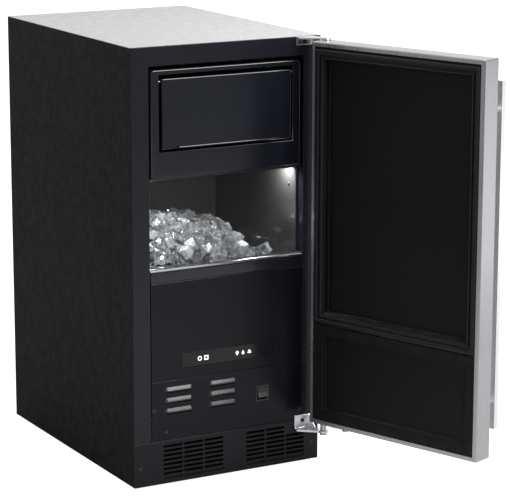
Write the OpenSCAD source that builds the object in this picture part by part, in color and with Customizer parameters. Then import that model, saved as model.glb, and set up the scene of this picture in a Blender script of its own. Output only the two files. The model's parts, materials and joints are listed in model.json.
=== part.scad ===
// Built-under clear-ice maker: a fifteen-inch-class steel cabinet with an insulated bin behind a
// right-hinged door, the ice-making module at the top of the bin and the refrigeration below it.
// Origin: the floor point midway between the four levelling feet. Front faces -Y, up is +Z.

/* [Cabinet] */
// Width over the side panels
cab_w = 378; // [340:1:460]
// Depth from the front frame's face to the back panel
cab_d = 529; // [500:1:640]
// Height from the skirt edge to the top panel
cab_h = 788; // [730:1:950]
// Height of the skirt edge above the floor, with the feet screwed in
foot_drop = 12; // [12:1:18]
// Sheet thickness of the outer panels
skin_t = 1.2; // [0.8:0.1:2]
// Width of each upright of the front frame
stile_w = 34.5; // [28:0.5:45]
// Height of the front frame's top rail
rail_h = 34; // [28:0.5:45]
// Depth of the front frame's inner return
frame_d = 20; // [14:1:22]
// Sheet thickness of the front frame
frame_t = 1.5; // [1:0.1:2.5]
// Height of the return along each side panel's back edge
side_return = 12; // [8:1:20]
// Height of the folded lip around the base pan
pan_lip = 12; // [8:1:20]
// Height of the base pan's floor above the skirt edge
pan_lift = 4; // [4:0.5:8]
// Thickness of the base pan
pan_t = 2; // [1.5:0.1:3]

/* [Front panels] */
// Height of the full-width kick plate
kick_h = 80; // [76:1:100]
// Height of the louvre panel
louver_h = 110; // [100:1:140]
// Height of the control panel
ctrl_h = 179; // [150:1:220]
// Height of the band below the bin mouth
lip_h = 26; // [20:1:40]
// Height of the cover in front of the ice-making module
cover_h = 190; // [170:1:230]
// Seam between neighbouring front panels
seam = 1; // [0.6:0.1:2]

/* [Kick plate vents] */
// Width of one vent slot
vent_slot_w = 38; // [25:1:40]
// Height of one vent slot
vent_slot_h = 4.6; // [3:0.1:6]
// Distance between the vent rows
vent_pitch = 8.4; // [7:0.1:9]
// Number of rows in a vent column
vent_rows = 8; // [4:1:8]
// Number of columns in a vent group
vent_cols = 3; // [2:1:3]
// Rib between the columns of a vent group
vent_rib = 3.5; // [3:0.5:6]
// Distance of the left vent group from the left edge
vent_left_x = 58; // [40:1:60]
// Distance of the right vent group's outer edge from the right edge
vent_right_x = 30; // [25:1:50]
// Height of the lowest slot above the skirt edge
vent_z = 8; // [6:1:12]
// Rows left out at the top of the column beside the hinge bracket
vent_short = 2; // [2:1:4]

/* [Louvres and switch] */
// Length of one louvre slot
louver_w = 52; // [30:1:58]
// Height of one louvre slot
louver_slot = 3.2; // [2:0.1:5]
// Distance between the louvre rows
louver_pitch = 19.5; // [15:0.5:24]
// Height of the lowest louvre slot above the louvre panel's lower edge
louver_z = 48; // [35:1:55]
// How far a louvre hood stands out
louver_proud = 3.4; // [1:0.1:3.6]
// Height of a louvre hood
louver_rise = 6.5; // [5:0.5:10]
// Distance of each louvre column's middle from the panel's centre line
louver_x = [-99.5, -9.8]; // [-140:0.1:30]
// Width of the rocker
rocker_w = 20; // [14:0.5:24]
// Height of the rocker
rocker_h = 22; // [16:0.5:26]
// Distance of the rocker's middle from the cabinet's centre line
rocker_x = 69.9; // [55:0.1:80]
// Height of the rocker's middle above the louvre panel's lower edge
rocker_z = 61; // [45:1:75]
// Tilt of the rocker each way from level
rocker_tilt = 12; // [5:1:12]
// Reach of the rocker's two noses in front of its pivot
rocker_nose = 12; // [9:0.5:12.5]
// Radius of the rocker's pivot stubs
rocker_pin_r = 1.5; // [1:0.1:2]

/* [Display] */
// Width of the display window
window_w = 185; // [120:1:220]
// Height of the display window
window_h = 27; // [18:1:40]
// Height of the window's middle above the control panel's lower edge
window_z = 33; // [25:1:60]
// Size of one touch symbol
icon_size = 8.5; // [6:0.5:10]
// Distance of each touch symbol from the window's centre line
icon_x = [-57, -44, 19, 31, 44]; // [-85:0.5:85]

/* [Door] */
// Thickness of the door without its handle
door_t = 40; // [34:1:50]
// Space between the closed door's inner face and the front frame
door_gap = 4; // [4:0.5:6]
// How much narrower the door is than the cabinet on each side
door_reveal = 3; // [2:0.5:6]
// Space between the door's top edge and the cabinet's top
door_top_gap = 4; // [4:0.5:6]
// Height of the door's bottom edge above the skirt edge
door_rise = 86; // [86:1:105]
// Angle at which the door stands open
door_open = 110; // [0:1:118]
// Sheet thickness of the door shell
door_skin = 1; // [0.8:0.1:1.5]
// Width of the door shell's inner return
door_flange = 8; // [6:0.5:12]
// Height of the door's plain lower liner
door_low_h = 188; // [150:1:220]
// Wall of the moulded door liners
liner_t = 2; // [1.5:0.1:3]
// Depth of the upper liner's dish
dish_up = 12; // [8:1:16]
// Depth of the lower liner's dish
dish_low = 6; // [4:1:10]
// Width of the gasket's band
gasket_w = 22; // [16:1:26]
// How far the gasket stands off the door's inner face
gasket_proud = 3; // [2:0.1:3]
// Depth of the gasket's seat below the door's inner face
gasket_seat = 2.8; // [2:0.1:5]

/* [Hinges] */
// Distance of the hinge axis from the door's edge and from its outer face
hinge_inset = 7; // [6.5:0.1:12]
// Radius of the hinge pins
hinge_pin_r = 4; // [3:0.1:5]
// Radial clearance of the hinge pins in the door's bushes
hinge_play = 0.05; // [0.02:0.01:0.1]
// Wall of the bushes
bush_wall = 1.9; // [1.2:0.1:2]
// Depth of the bushes in the door
bush_l = 15; // [12:1:20]
// Thickness of the lower bracket's arm
arm_low_t = 4.5; // [3:0.1:6]
// Thickness of the upper bracket's arm
arm_up_t = 3; // [2:0.1:3.2]
// Width of the brackets' wall plates
bracket_w = 33; // [26:1:36]
// Distance of the wall plates' outer edge from the cabinet's edge
bracket_in = 18; // [12:1:20]
// Height of the upper bracket's wall plate below its arm
bracket_up_h = 12; // [10:1:16]
// Thickness of the wall plates
bracket_t = 2.4; // [2:0.1:2.6]
// Drop of the lower arm's underside below the door's bottom edge
arm_drop = 26; // [20:1:30]

/* [Handle] */
// Length of the handle bar
bar_l = 610; // [400:5:620]
// Width of the handle bar
bar_w = 22; // [16:1:30]
// Thickness of the handle bar
bar_t = 10; // [8:0.5:16]
// Finger gap between the door and the bar
bar_gap = 20; // [18:1:40]
// Distance of the bar's outer edge from the door's free edge
bar_edge = 6; // [4:1:20]
// Height of the bar's lower end above the door's bottom edge
bar_rise = 46; // [30:1:60]
// Radius of the standoffs
post_r = 6; // [4:0.5:9]
// Distance of the standoffs from the bar's ends
post_in = 50; // [30:1:90]

/* [Bin] */
// Wall of the bin liner
bin_t = 2.5; // [2:0.1:4]
// Height of the bin floor above the floor
bin_floor = 300; // [280:1:330]
// Depth of the bin from the frame's return to the back wall
bin_deep = 308; // [280:1:330]
// Clearance between the liner and the frame's opening
bin_side = 4; // [3:0.5:8]
// Thickness of the insulation behind and under the bin
foam_t = 40; // [30:1:50]
// Radius of the bin's drain hole
drain_r = 9; // [7:0.5:12]

/* [Ice-making module] */
// Radius of the cover's top corners
cover_r = 8; // [4:0.5:14]
// Set-back of the cover's face from the front frame
cover_set = 3; // [2:0.5:6]
// Depth of the cover's side returns
cover_deep = 26; // [18:1:30]
// Wall of the cover
cover_t = 2.5; // [2:0.1:3.5]
// Gap above the cover
cover_gap = 8; // [5:0.5:12]
// Width of the access flap
flap_w = 258; // [220:1:262]
// Height of the access flap
flap_h = 124; // [100:1:140]
// Gap beside and below the access flap
flap_gap = 4.6; // [3.5:0.1:6]
// Gap above the access flap
flap_head = 7; // [4:0.5:10]
// Height of the flap's lower edge above the cover's lower edge
flap_rise = 50; // [35:1:56]
// How far the flap stands out from the cover
flap_proud = 2.5; // [1.5:0.1:3]
// Thickness of the flap
flap_t = 3; // [2.5:0.1:4]
// Length of the flap's finger lip
flap_lip_w = 196; // [120:1:220]
// Radius of the flap's pivot pins
flap_pin_r = 2; // [1.5:0.1:2.5]
// Width of the freezing plate
plate_w = 214; // [180:1:230]
// Length of the freezing plate along its slope
plate_l = 170; // [120:1:190]
// Slope of the freezing plate
plate_tilt = 10; // [5:1:15]

/* [Machine compartment] */
// Radius of the compressor's shell
comp_r = 62; // [50:1:70]
// Height of the compressor's shell
comp_h = 165; // [130:1:190]
// Radius of the condenser fan
fan_r = 62; // [50:1:64]
// Number of fan blades
fan_blades = 5; // [4:1:7]
// Width of the condenser
cond_w = 142; // [134:1:150]
// Number of condenser fins
cond_fins = 22; // [10:1:30]
// Radius of the refrigerant tubes
tube_r = 3; // [2.5:0.1:4]

/* [Feet and connections] */
// Radius of the levelling feet's pads
pad_r = 19; // [15:0.5:24]
// Thickness of the pads
pad_t = 9.5; // [7:0.5:10]
// Radius of the feet's studs
stud_r = 5; // [4:0.1:6]
// Radial clearance of the studs in their sockets
stud_play = 0.05; // [0.02:0.01:0.1]
// Length of the studs above the pads
stud_l = 48; // [40:1:60]
// Distance of the feet from the cabinet's sides
foot_in_x = 42; // [30:1:50]
// Distance of the feet from the cabinet's front and from its back
foot_in_y = 66; // [32:1:70]
// Radius of the water inlet's spigot
inlet_r = 13; // [8:0.5:14]
// Length of the water inlet's spigot behind the back panel
inlet_l = 14; // [10:1:20]
// Radius of the drain spigot
spigot_r = 8; // [6:0.5:10]
// Length of the drain spigot behind the back panel
spigot_l = 18; // [12:1:24]
// Bore radius of the power lead's gland
gland_r = 4.2; // [3:0.1:6]

/* [Hidden] */
$fn = 48;
eps = 0.01;
yf = -cab_d / 2;
yb = cab_d / 2;
z0 = foot_drop;
z1 = foot_drop + cab_h;
x_out = cab_w / 2;
x_skin = x_out - skin_t;
x_open = x_out - stile_w;
z_kick = z0 + kick_h;
z_louver = z_kick + louver_h;
z_ctrl = z_louver + ctrl_h;
z_lip = z_ctrl + lip_h;
z_open = z1 - rail_h;
z_cover1 = z_open - cover_gap;
z_cover0 = z_cover1 - cover_h;
pan_z = z0 + pan_lift + pan_t;
plug_r = 2.5;
screw_r = 3.5;
screw_head = 1.2;

// Door in its closed place; the hinge edge is on the right
door_w = cab_w - 2 * door_reveal;
door_h = cab_h - door_top_gap - door_rise;
dxr = door_w / 2;
dxl = -door_w / 2;
dz0 = z0 + door_rise;
dz1 = dz0 + door_h;
yi = yf - door_gap;
yo = yi - door_t;
hinge_x = dxr - hinge_inset;
hinge_y = yo + hinge_inset;
bush_r = hinge_pin_r + hinge_play + bush_wall;
arm_up_z = z1 - arm_up_t - 0.4;
bracket_up_z = arm_up_z - bracket_up_h;
gasket_z1 = bracket_up_z - 1;
door_split = dz0 + door_low_h;
step_y = yi - gasket_seat;
door_back = step_y - liner_t;
arm_z0 = dz0 - arm_drop;
bar_z0 = dz0 + bar_rise;
bar_x0 = dxl + bar_edge;
block_w = 2 * hinge_inset + 16;

// Bin and module
bin_x = x_open - bin_side;
bin_y0 = yf + frame_d + bin_t;
bin_y1 = bin_y0 + bin_deep;
bin_z1 = z_open - 2;
lip_z = z_lip - 3;
foam_y1 = bin_y1 + bin_t + foam_t;
foam_z0 = bin_floor - bin_t - foam_t;
cover_x = bin_x - 0.5;
cover_y = yf + cover_set;
flap_z0 = z_cover0 + flap_rise;
flap_z1 = flap_z0 + flap_h;
flap_y = cover_y - flap_proud;
flap_ear_y = cover_y + cover_t + 2.5;
flap_axis_z = flap_z1 - 5;
plate_y = bin_y0 + 150;
plate_z = z_cover1 - 62;
rail_x = plate_w / 2 + 6;
trough_z = z_cover0 + 6;
trough_y = bin_y0 + 54;
pump_x = rail_x - 34;

// Machine compartment
fan_x = -66;
fan_z = pan_z + fan_r + 12;
cond_y = yf + 30;
cond_t = 38;
cond_h = 2 * fan_r + 18;
fan_y = cond_y + cond_t + 18;
comp_x = x_skin - comp_r - 24;
comp_y = yb - comp_r - 84;
grommet_h = 10;
valve_z = 150;
spigot_z = 118;
spigot_x = 96;
gland_x = -110;
gland_z = 92;
inlet_x = -40;

// Levelling feet
foot_x = x_out - foot_in_x;
foot_y = yb - foot_in_y;
nut_h = 4;

// ---------------------------------------------------------------- helpers

// Extrudes an XZ outline from y over thickness t towards +Y
module wall_xz(y, t) {
    translate([0, y + t, 0]) rotate([90, 0, 0]) linear_extrude(t) children();
}

// Extrudes a YZ outline along X
module along_x(x, l) {
    translate([x, 0, 0]) rotate([90, 0, 90]) linear_extrude(l) children();
}

// A box from its low corner to its high corner
module box(lo, hi) {
    translate(lo) cube(hi - lo);
}

// A flat outline with rounded corners, from its low corner to its high corner
module round_rect(lo, hi, r) {
    translate([lo[0] + r, lo[1]]) square([hi[0] - lo[0] - 2 * r, hi[1] - lo[1]]);
    translate([lo[0], lo[1] + r]) square([hi[0] - lo[0], hi[1] - lo[1] - 2 * r]);
    for (x = [lo[0] + r, hi[0] - r], y = [lo[1] + r, hi[1] - r]) translate([x, y]) circle(r);
}

// A cylinder along +Y
module rod_y(x, y, z, r, l, fn = 48) {
    translate([x, y, z]) rotate([-90, 0, 0]) cylinder(r = r, h = l, $fn = fn);
}

// A cylinder along +X
module rod_x(x, y, z, r, l, fn = 48) {
    translate([x, y, z]) rotate([0, 90, 0]) cylinder(r = r, h = l, $fn = fn);
}

// A cylinder along +Z
module rod_z(x, y, z, r, l, fn = 48) {
    translate([x, y, z]) cylinder(r = r, h = l, $fn = fn);
}

// A flat screw head with a cross recess, facing -Y on a face at y
module screw_front(x, y, z) {
    difference() {
        rod_y(x, y - screw_head, z, screw_r, screw_head);
        box([x - 2, y - screw_head - eps, z - 0.4], [x + 2, y - screw_head + 0.7, z + 0.4]);
        box([x - 0.4, y - screw_head - eps, z - 2], [x + 0.4, y - screw_head + 0.7, z + 2]);
    }
}

// Turns the closed door about its hinge axis to where it stands
module door_place() {
    translate([hinge_x, hinge_y, 0]) rotate([0, 0, door_open]) translate([-hinge_x, -hinge_y, 0])
        children();
}

// ---------------------------------------------------------------- cabinet

// One side panel with its back return; side is -1 for the left
module side_panel(side) {
    y_a = yf + frame_t;
    color("#1c1d20") scale([side, 1, 1]) translate([0, 0, z0]) linear_extrude(cab_h - skin_t) polygon([
        [x_out, y_a], [x_out, yb], [x_skin, yb], [x_skin, yb - skin_t],
        [x_skin - side_return, yb - skin_t], [x_skin - side_return, yb - 2 * skin_t],
        [x_skin, yb - 2 * skin_t], [x_skin, y_a]
    ]);
}

module top_panel() {
    color("#d4d4d6") box([-x_out, yf + frame_t, z1 - skin_t], [x_out, yb, z1]);
}

// Back panel with its vent slots and the holes of the three connections
module back_panel() {
    rows = 9;
    color("#9da0a3") difference() {
        box([-x_skin, yb - skin_t, z0], [x_skin, yb, z1 - skin_t]);
        rod_y(inlet_x, yb - skin_t - 1, valve_z, inlet_r + 1, skin_t + 2);
        rod_y(spigot_x, yb - skin_t - 1, spigot_z, spigot_r + 1, skin_t + 2);
        rod_y(gland_x, yb - skin_t - 1, gland_z, gland_r + 4, skin_t + 2);
        for (i = [0 : rows - 1], side = [-1, 1])
            translate([side * 70 - 45, yb - skin_t - 1, 220 + i * 12]) cube([90, skin_t + 2, 5]);
    }
}

// Base pan: a flat floor with a folded lip and a hole for each foot
module base_pan() {
    y_a = yf + frame_t + skin_t;
    y_b = yb - 2 * skin_t;
    color("#8d9094") difference() {
        box([-x_skin, y_a, z0 + pan_lift], [x_skin, y_b, z0 + pan_lift + pan_lip]);
        box([-x_skin + pan_t, y_a + pan_t, pan_z], [x_skin - pan_t, y_b - pan_t, z1]);
        for (sx = [-1, 1], sy = [-1, 1])
            rod_z(sx * foot_x, sy * foot_y, z0, stud_r + 0.8, pan_lift + pan_t + 1);
    }
}

// One mitred upright of the front frame; side is -1 for the left
module front_stile(side) {
    mitre = 0.2;
    color("#2a2b30") scale([side, 1, 1]) {
        wall_xz(yf, frame_t) polygon([
            [x_open, z_kick + seam], [x_out, z_kick + seam], [x_out, z1 - mitre], [x_open, z_open - mitre]
        ]);
        box([x_open, yf, z_kick + seam], [x_open + frame_t, yf + frame_d, z_open - frame_t]);
    }
}

module front_rail_top() {
    mitre = 0.2;
    color("#2a2b30") {
        wall_xz(yf, frame_t) polygon([
            [-x_open + mitre, z_open], [x_open - mitre, z_open], [x_out - mitre, z1], [-x_out + mitre, z1]
        ]);
        box([-x_open, yf, z_open], [x_open, yf + frame_d, z_open + frame_t]);
    }
}

// Full-width kick plate with two groups of vent slots and a folded lower edge
module kick_plate() {
    group_w = vent_cols * vent_slot_w + (vent_cols - 1) * vent_rib;
    color("#1b1c1f") {
        difference() {
            box([-x_out, yf, z0], [x_out, yf + frame_t, z_kick]);
            for (g = [0, 1], c = [0 : vent_cols - 1]) {
                x = (g == 0 ? -x_out + vent_left_x : x_out - vent_right_x - group_w)
                    + c * (vent_slot_w + vent_rib);
                rows = vent_rows - (g == 1 && c == vent_cols - 1 ? vent_short : 0);
                for (r = [0 : rows - 1])
                    translate([x, yf - 1, z0 + vent_z + r * vent_pitch])
                        cube([vent_slot_w, frame_t + 2, vent_slot_h]);
            }
        }
        box([-x_skin, yf + frame_t, z0], [x_skin, yf + frame_t + 14, z0 + skin_t]);
    }
}

// Louvre panel: six pressed hoods with a slot under each, and the switch's cut-out
module louver_panel() {
    x_p = x_open - seam;
    color("#1e1f23") {
        difference() {
            box([-x_p, yf, z_kick + seam], [x_p, yf + frame_t, z_louver]);
            for (x = louver_x, r = [0 : 2])
                translate([x - louver_w / 2, yf - 1, z_kick + louver_z + r * louver_pitch])
                    cube([louver_w, frame_t + 2, louver_slot]);
            translate([rocker_x - rocker_w / 2 - 2, yf - 1, z_kick + rocker_z - rocker_h / 2 - 2])
                cube([rocker_w + 4, frame_t + 2, rocker_h + 4]);
        }
        for (x = louver_x, r = [0 : 2]) translate([x, yf, z_kick + louver_z + louver_slot + r * louver_pitch])
            hull() {
                translate([-louver_w / 2, -louver_proud, 0]) cube([louver_w, 0.8, 0.6]);
                translate([-louver_w / 2 - 2.5, -eps, 0]) cube([louver_w + 5, 2 * eps, louver_rise]);
            }
    }
}

// Control panel with the window's cut-out
module control_panel() {
    x_p = x_open - seam;
    color("#1e1f23") difference() {
        box([-x_p, yf, z_louver + seam], [x_p, yf + frame_t, z_ctrl]);
        wall_xz(yf - 1, frame_t + 2) round_rect(
            [-window_w / 2, z_louver + window_z - window_h / 2],
            [window_w / 2, z_louver + window_z + window_h / 2], 2);
    }
}

module display_window() {
    g = 0.3;
    color("#0b0b0d") wall_xz(yf + 0.3, frame_t) round_rect(
        [-window_w / 2 + g, z_louver + window_z - window_h / 2 + g],
        [window_w / 2 - g, z_louver + window_z + window_h / 2 - g], 2 - g);
}

// Five plain touch symbols: a ring, a square, a drop, a bulb and a bell shape
module display_icons() {
    z = z_louver + window_z;
    t = 0.15;
    r = icon_size / 2;
    color("#e8e8ea") wall_xz(yf + 0.3 - t, t) {
        translate([icon_x[0], z]) difference() {
            circle(r);
            circle(r * 0.6);
        }
        translate([icon_x[1], z]) difference() {
            square(2 * r, center = true);
            square(r, center = true);
        }
        translate([icon_x[2], z]) {
            translate([0, r * 0.2]) circle(r * 0.72);
            translate([-r * 0.25, -r]) square([r * 0.5, r * 0.7]);
        }
        translate([icon_x[3], z]) {
            translate([0, -r * 0.3]) circle(r * 0.66);
            polygon([[-r * 0.55, 0], [r * 0.55, 0], [0, r]]);
        }
        translate([icon_x[4], z]) {
            translate([0, r * 0.15]) circle(r * 0.6);
            translate([-r * 0.85, -r * 0.7]) square([r * 1.7, r * 0.45]);
            translate([-r * 0.6, -r * 0.5]) square([r * 1.2, r * 0.7]);
        }
    }
}

// Circuit board behind the window, on four posts
module display_board() {
    z = z_louver + window_z;
    y_a = yf + 0.3 + frame_t;
    color("#1f6b3a") {
        box([-window_w / 2 - 6, y_a + 8, z - 20], [window_w / 2 + 6, y_a + 9.6, z + 20]);
        box([-40, y_a + 9.6, z - 10], [30, y_a + 16, z + 8]);
        for (x = [-1, 1], dz = [-16, 16])
            rod_y(x * (window_w / 2 + 2), yf + frame_t, z + dz, 3, 8.4);
    }
}

// Moulded trim below the bin mouth: a flat face that rolls over into the bin
module bin_lip() {
    nose = 8;
    wall = 2.4;
    x_p = x_open - seam;
    outer = [for (a = [180 : -15 : 90]) [yf + nose + nose * cos(a), z_lip - nose + nose * sin(a)]];
    inner = [for (a = [90 : 15 : 180])
        [yf + nose + (nose - wall) * cos(a), z_lip - nose + (nose - wall) * sin(a)]];
    color("#1e1f23") along_x(-x_p, 2 * x_p) polygon(concat(
        [[yf, z_ctrl + seam]], outer, [[yf + frame_d - 0.5, z_lip], [yf + frame_d - 0.5, z_lip - wall]],
        inner, [[yf + wall, z_ctrl + seam]]));
}

// ---------------------------------------------------------------- bin

// One-piece bin: four walls, floor and ceiling with a front flange, open at the front
module bin_liner() {
    w = bin_t;
    color("#0e0f11") difference() {
        union() {
            box([-bin_x - w, bin_y0 - w, bin_floor - w], [bin_x + w, bin_y1 + w, bin_z1]);
            box([-x_open, bin_y0 - w, lip_z - 20], [x_open, bin_y0, bin_z1]);
        }
        box([-bin_x, bin_y0, bin_floor], [bin_x, bin_y1, bin_z1 - w]);
        box([-bin_x, bin_y0 - w - 1, lip_z - 3], [bin_x, bin_y0 + 1, bin_z1 - w]);
        rod_z(bin_x - 40, bin_y1 - 30, bin_floor - w - 1, drain_r, w + 2);
    }
}

// Foam blocks around the bin: left, right, back, top and floor
module insulation_foam() {
    w = bin_t;
    y_a = bin_y0;
    x_in = bin_x + w;
    z_top = z1 - skin_t;
    color("#e7dcae") {
        for (s = [-1, 1]) scale([s, 1, 1]) box([x_in, y_a, foam_z0], [x_skin, foam_y1, z_top]);
        box([-x_in, bin_y1 + w, foam_z0], [x_in, foam_y1, z_top]);
        box([-x_in, y_a, bin_z1], [x_in, bin_y1 + w, z_top]);
        difference() {
            box([-x_in, y_a, foam_z0], [x_in, bin_y1 + w, bin_floor - w]);
            rod_z(bin_x - 40, bin_y1 - 30, foam_z0 - 1, drain_r, foam_t + 2);
        }
    }
}

// Plugs over the liner's fixings, on the right wall
module bin_plugs() {
    color("#050506") for (p = [[157, z_lip + 115], [45, z_lip + 152], [45, z_lip + 119]])
        rod_x(bin_x - 1, yf + p[0], p[1], plug_r, 1);
}

// Lamp on the right wall, just above the cover's lower edge and behind it
module bin_light() {
    color("#f4f6ff") box([bin_x - 32, bin_y0 + 8, z_cover0 + 1], [bin_x, bin_y0 + 33, z_cover0 + 9]);
}

// Ice-level bulb in its bracket on the left wall
module bin_sensor() {
    z = z_lip + 108;
    color("#b88a5a") {
        rod_y(-bin_x + 14, bin_y0 + 60, z, 3, 90);
        for (y = [bin_y0 + 72, bin_y0 + 130]) box([-bin_x, y, z + 2], [-bin_x + 16, y + 4, z + 5]);
    }
}

// Heap of cubes in the bin, high on the left and at the middle of its depth
module ice_heap() {
    g = 1;
    top = lip_z + 78;
    color("#dfe9ef") intersection() {
        wall_xz(bin_y0 + g, bin_deep - 2 * g) polygon([
            [-bin_x + g, bin_floor], [bin_x - g, bin_floor], [bin_x - g, top - 110], [bin_x - 60, top - 78],
            [bin_x - 95, top - 44], [0, top - 8], [-60, top], [-bin_x + g, top - 6]
        ]);
        along_x(-bin_x, 2 * bin_x) polygon([
            [bin_y0 + g, bin_floor], [bin_y1 - g, bin_floor], [bin_y1 - g, top - 60],
            [bin_y0 + 190, top - 14], [bin_y0 + 110, top], [bin_y0 + 60, top - 24], [bin_y0 + g, top - 74]
        ]);
    }
}

// ---------------------------------------------------------------- ice-making module

// Front cover of the ice-making module: a shallow tray with the flap's window
module evaporator_cover() {
    y_b = cover_y + cover_deep;
    win = flap_w / 2 + flap_gap;
    color("#202126") {
        difference() {
            wall_xz(cover_y, cover_deep) cover_outline(0);
            wall_xz(cover_y + cover_t, cover_deep) cover_outline(cover_t);
            box([-win, cover_y - 1, flap_z0 - flap_gap], [win, cover_y + cover_t + 1, flap_z1 + flap_head]);
        }
        for (s = [-1, 1]) scale([s, 1, 1]) difference() {
            box([win, cover_y + cover_t, flap_axis_z - 8], [win + 3, flap_ear_y + 6, flap_axis_z + 8]);
            rod_x(win - 1, flap_ear_y, flap_axis_z, flap_pin_r, 5);
        }
    }
}

// Outline of the cover, drawn in by d, with rounded top corners and square lower ones
module cover_outline(d) {
    lo = [-cover_x + d, z_cover0 + d];
    hi = [cover_x - d, z_cover1 - d];
    round_rect(lo, hi, cover_r - d / 2);
    translate(lo) square([hi[0] - lo[0], 2 * cover_r]);
}

// Access flap with its finger lip and two pivot ears; it hangs from the pins
module access_flap() {
    x_e = flap_w / 2;
    ear = 3;
    color("#26272c") {
        wall_xz(flap_y, flap_t) round_rect([-x_e, flap_z0], [x_e, flap_z1], 3);
        box([-flap_lip_w / 2, flap_y - 5, flap_z0 + 1.5], [flap_lip_w / 2, flap_y, flap_z0 + 4.5]);
        for (s = [-1, 1]) scale([s, 1, 1]) difference() {
            union() {
                box([x_e - ear, flap_y + flap_t, flap_axis_z - 4], [x_e, flap_ear_y, flap_axis_z + 4]);
                rod_x(x_e - ear, flap_ear_y, flap_axis_z, 4, ear);
            }
            rod_x(x_e - ear - 1, flap_ear_y, flap_axis_z, flap_pin_r + 0.05, ear + 2);
        }
    }
}

module flap_pins() {
    x_a = flap_w / 2 - 3;
    color("#b9bbbe") for (s = [-1, 1]) scale([s, 1, 1])
        rod_x(x_a, flap_ear_y, flap_axis_z, flap_pin_r, flap_gap + 6);
}

// Two side rails that carry the module, hung from the liner's ceiling
module module_frame() {
    color("#c3c6c9") for (s = [-1, 1]) scale([s, 1, 1]) {
        box([rail_x, bin_y0 + 34, z_cover0 + 8], [rail_x + 3, bin_y0 + 270, z_cover1 - 20]);
        box([rail_x, bin_y0 + 60, z_cover1 - 20], [rail_x + 3, bin_y0 + 90, bin_z1 - bin_t]);
        box([rail_x, bin_y0 + 210, z_cover1 - 20], [rail_x + 3, bin_y0 + 240, bin_z1 - bin_t]);
    }
}

// Moves a piece onto the plate's slope
module on_slope(lift) {
    translate([0, plate_y, plate_z + lift]) rotate([plate_tilt, 0, 0]) children();
}

// Freezing plate between the rails, with upturned edges
module evaporator_plate() {
    h = 10;
    color("#c9ccd0") on_slope(0) difference() {
        translate([-rail_x, -plate_l / 2, 0]) cube([2 * rail_x, plate_l, h]);
        translate([-rail_x + 8, -plate_l / 2 - 1, 2.5]) cube([2 * rail_x - 16, plate_l - 5, h]);
    }
}

// Serpentine tube brazed under the plate
module evaporator_coil() {
    runs = 6;
    pitch = plate_l / (runs + 1);
    half = plate_w / 2 - pitch;
    color("#b4713c") on_slope(-tube_r - 0.05) for (i = [0 : runs - 1]) {
        y = (i - (runs - 1) / 2) * pitch;
        rod_x(-half - tube_r, y, 0, tube_r, 2 * (half + tube_r));
        if (i < runs - 1) rod_y((i % 2 == 0 ? 1 : -1) * half, y, 0, tube_r, pitch);
    }
}

// Heated wires that cut the slab into cubes, in a frame below the plate
module cutter_grid() {
    pitch = 23;
    w = 2 * rail_x;
    d = 150;
    bar = 8;
    nx = floor((w - 2 * bar) / pitch);
    ny = floor((d - 2 * bar) / pitch);
    color("#d7dade") on_slope(-58) {
        difference() {
            translate([-w / 2, -d / 2, 0]) cube([w, d, bar]);
            translate([-w / 2 + bar, -d / 2 + bar, -1]) cube([w - 2 * bar, d - 2 * bar, bar + 2]);
        }
        for (i = [1 : nx]) translate([-w / 2 + bar + i * (w - 2 * bar) / (nx + 1) - 0.6, -d / 2 + bar - 1, 2])
            cube([1.2, d - 2 * bar + 2, 1.2]);
        for (i = [1 : ny]) translate([-w / 2 + bar - 1, -d / 2 + bar + i * (d - 2 * bar) / (ny + 1) - 0.6, 4.6])
            cube([w - 2 * bar + 2, 1.2, 1.2]);
    }
}

// Water trough across the module's front
module water_trough() {
    wall = 2;
    deep = 54;
    h = 34;
    color("#3a3c42") difference() {
        box([-rail_x, trough_y - deep / 2, trough_z], [rail_x, trough_y + deep / 2, trough_z + h]);
        box([-rail_x + wall, trough_y - deep / 2 + wall, trough_z + wall],
            [rail_x - wall, trough_y + deep / 2 - wall, trough_z + h + 1]);
    }
}

// Spray bar over the plate's upper edge, with a row of outlet holes
module water_distributor() {
    y = plate_y + plate_l / 2 - 12;
    z = plate_z + 36;
    r = 7;
    color("#e4e6e8") difference() {
        rod_x(-rail_x, y, z, r, 2 * rail_x);
        rod_x(-rail_x + 3, y, z, r - 2, 2 * rail_x - 6);
        for (i = [0 : 9]) rod_z(-rail_x + 14 + i * (2 * rail_x - 28) / 9, y, z - r - 1, 1.2, r);
    }
}

// Pump motor over the trough with its open-bottomed pump casing
module pump_motor() {
    z = trough_z + 5;
    color("#34363b") {
        difference() {
            rod_z(pump_x, trough_y, z, 19, 22);
            rod_z(pump_x, trough_y, z - 1, 16.5, 17);
        }
        rod_z(pump_x, trough_y, z + 22, 15, 30);
        rod_z(pump_x, trough_y, z + 4, 2, 14);
        box([pump_x - 8, trough_y - 2, z + 36], [rail_x, trough_y + 2, z + 48]);
    }
}

// Pump impeller on the motor's shaft
module pump_impeller() {
    z = trough_z + 8;
    color("#dcdcdc") difference() {
        union() {
            rod_z(pump_x, trough_y, z, 5, 9);
            for (i = [0 : 4]) translate([pump_x, trough_y, z]) rotate([0, 0, 72 * i])
                translate([3, -0.8, 0]) cube([11, 1.6, 9]);
        }
        rod_z(pump_x, trough_y, z - 1, 2.05, 12);
    }
}

// ---------------------------------------------------------------- machine compartment

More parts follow.
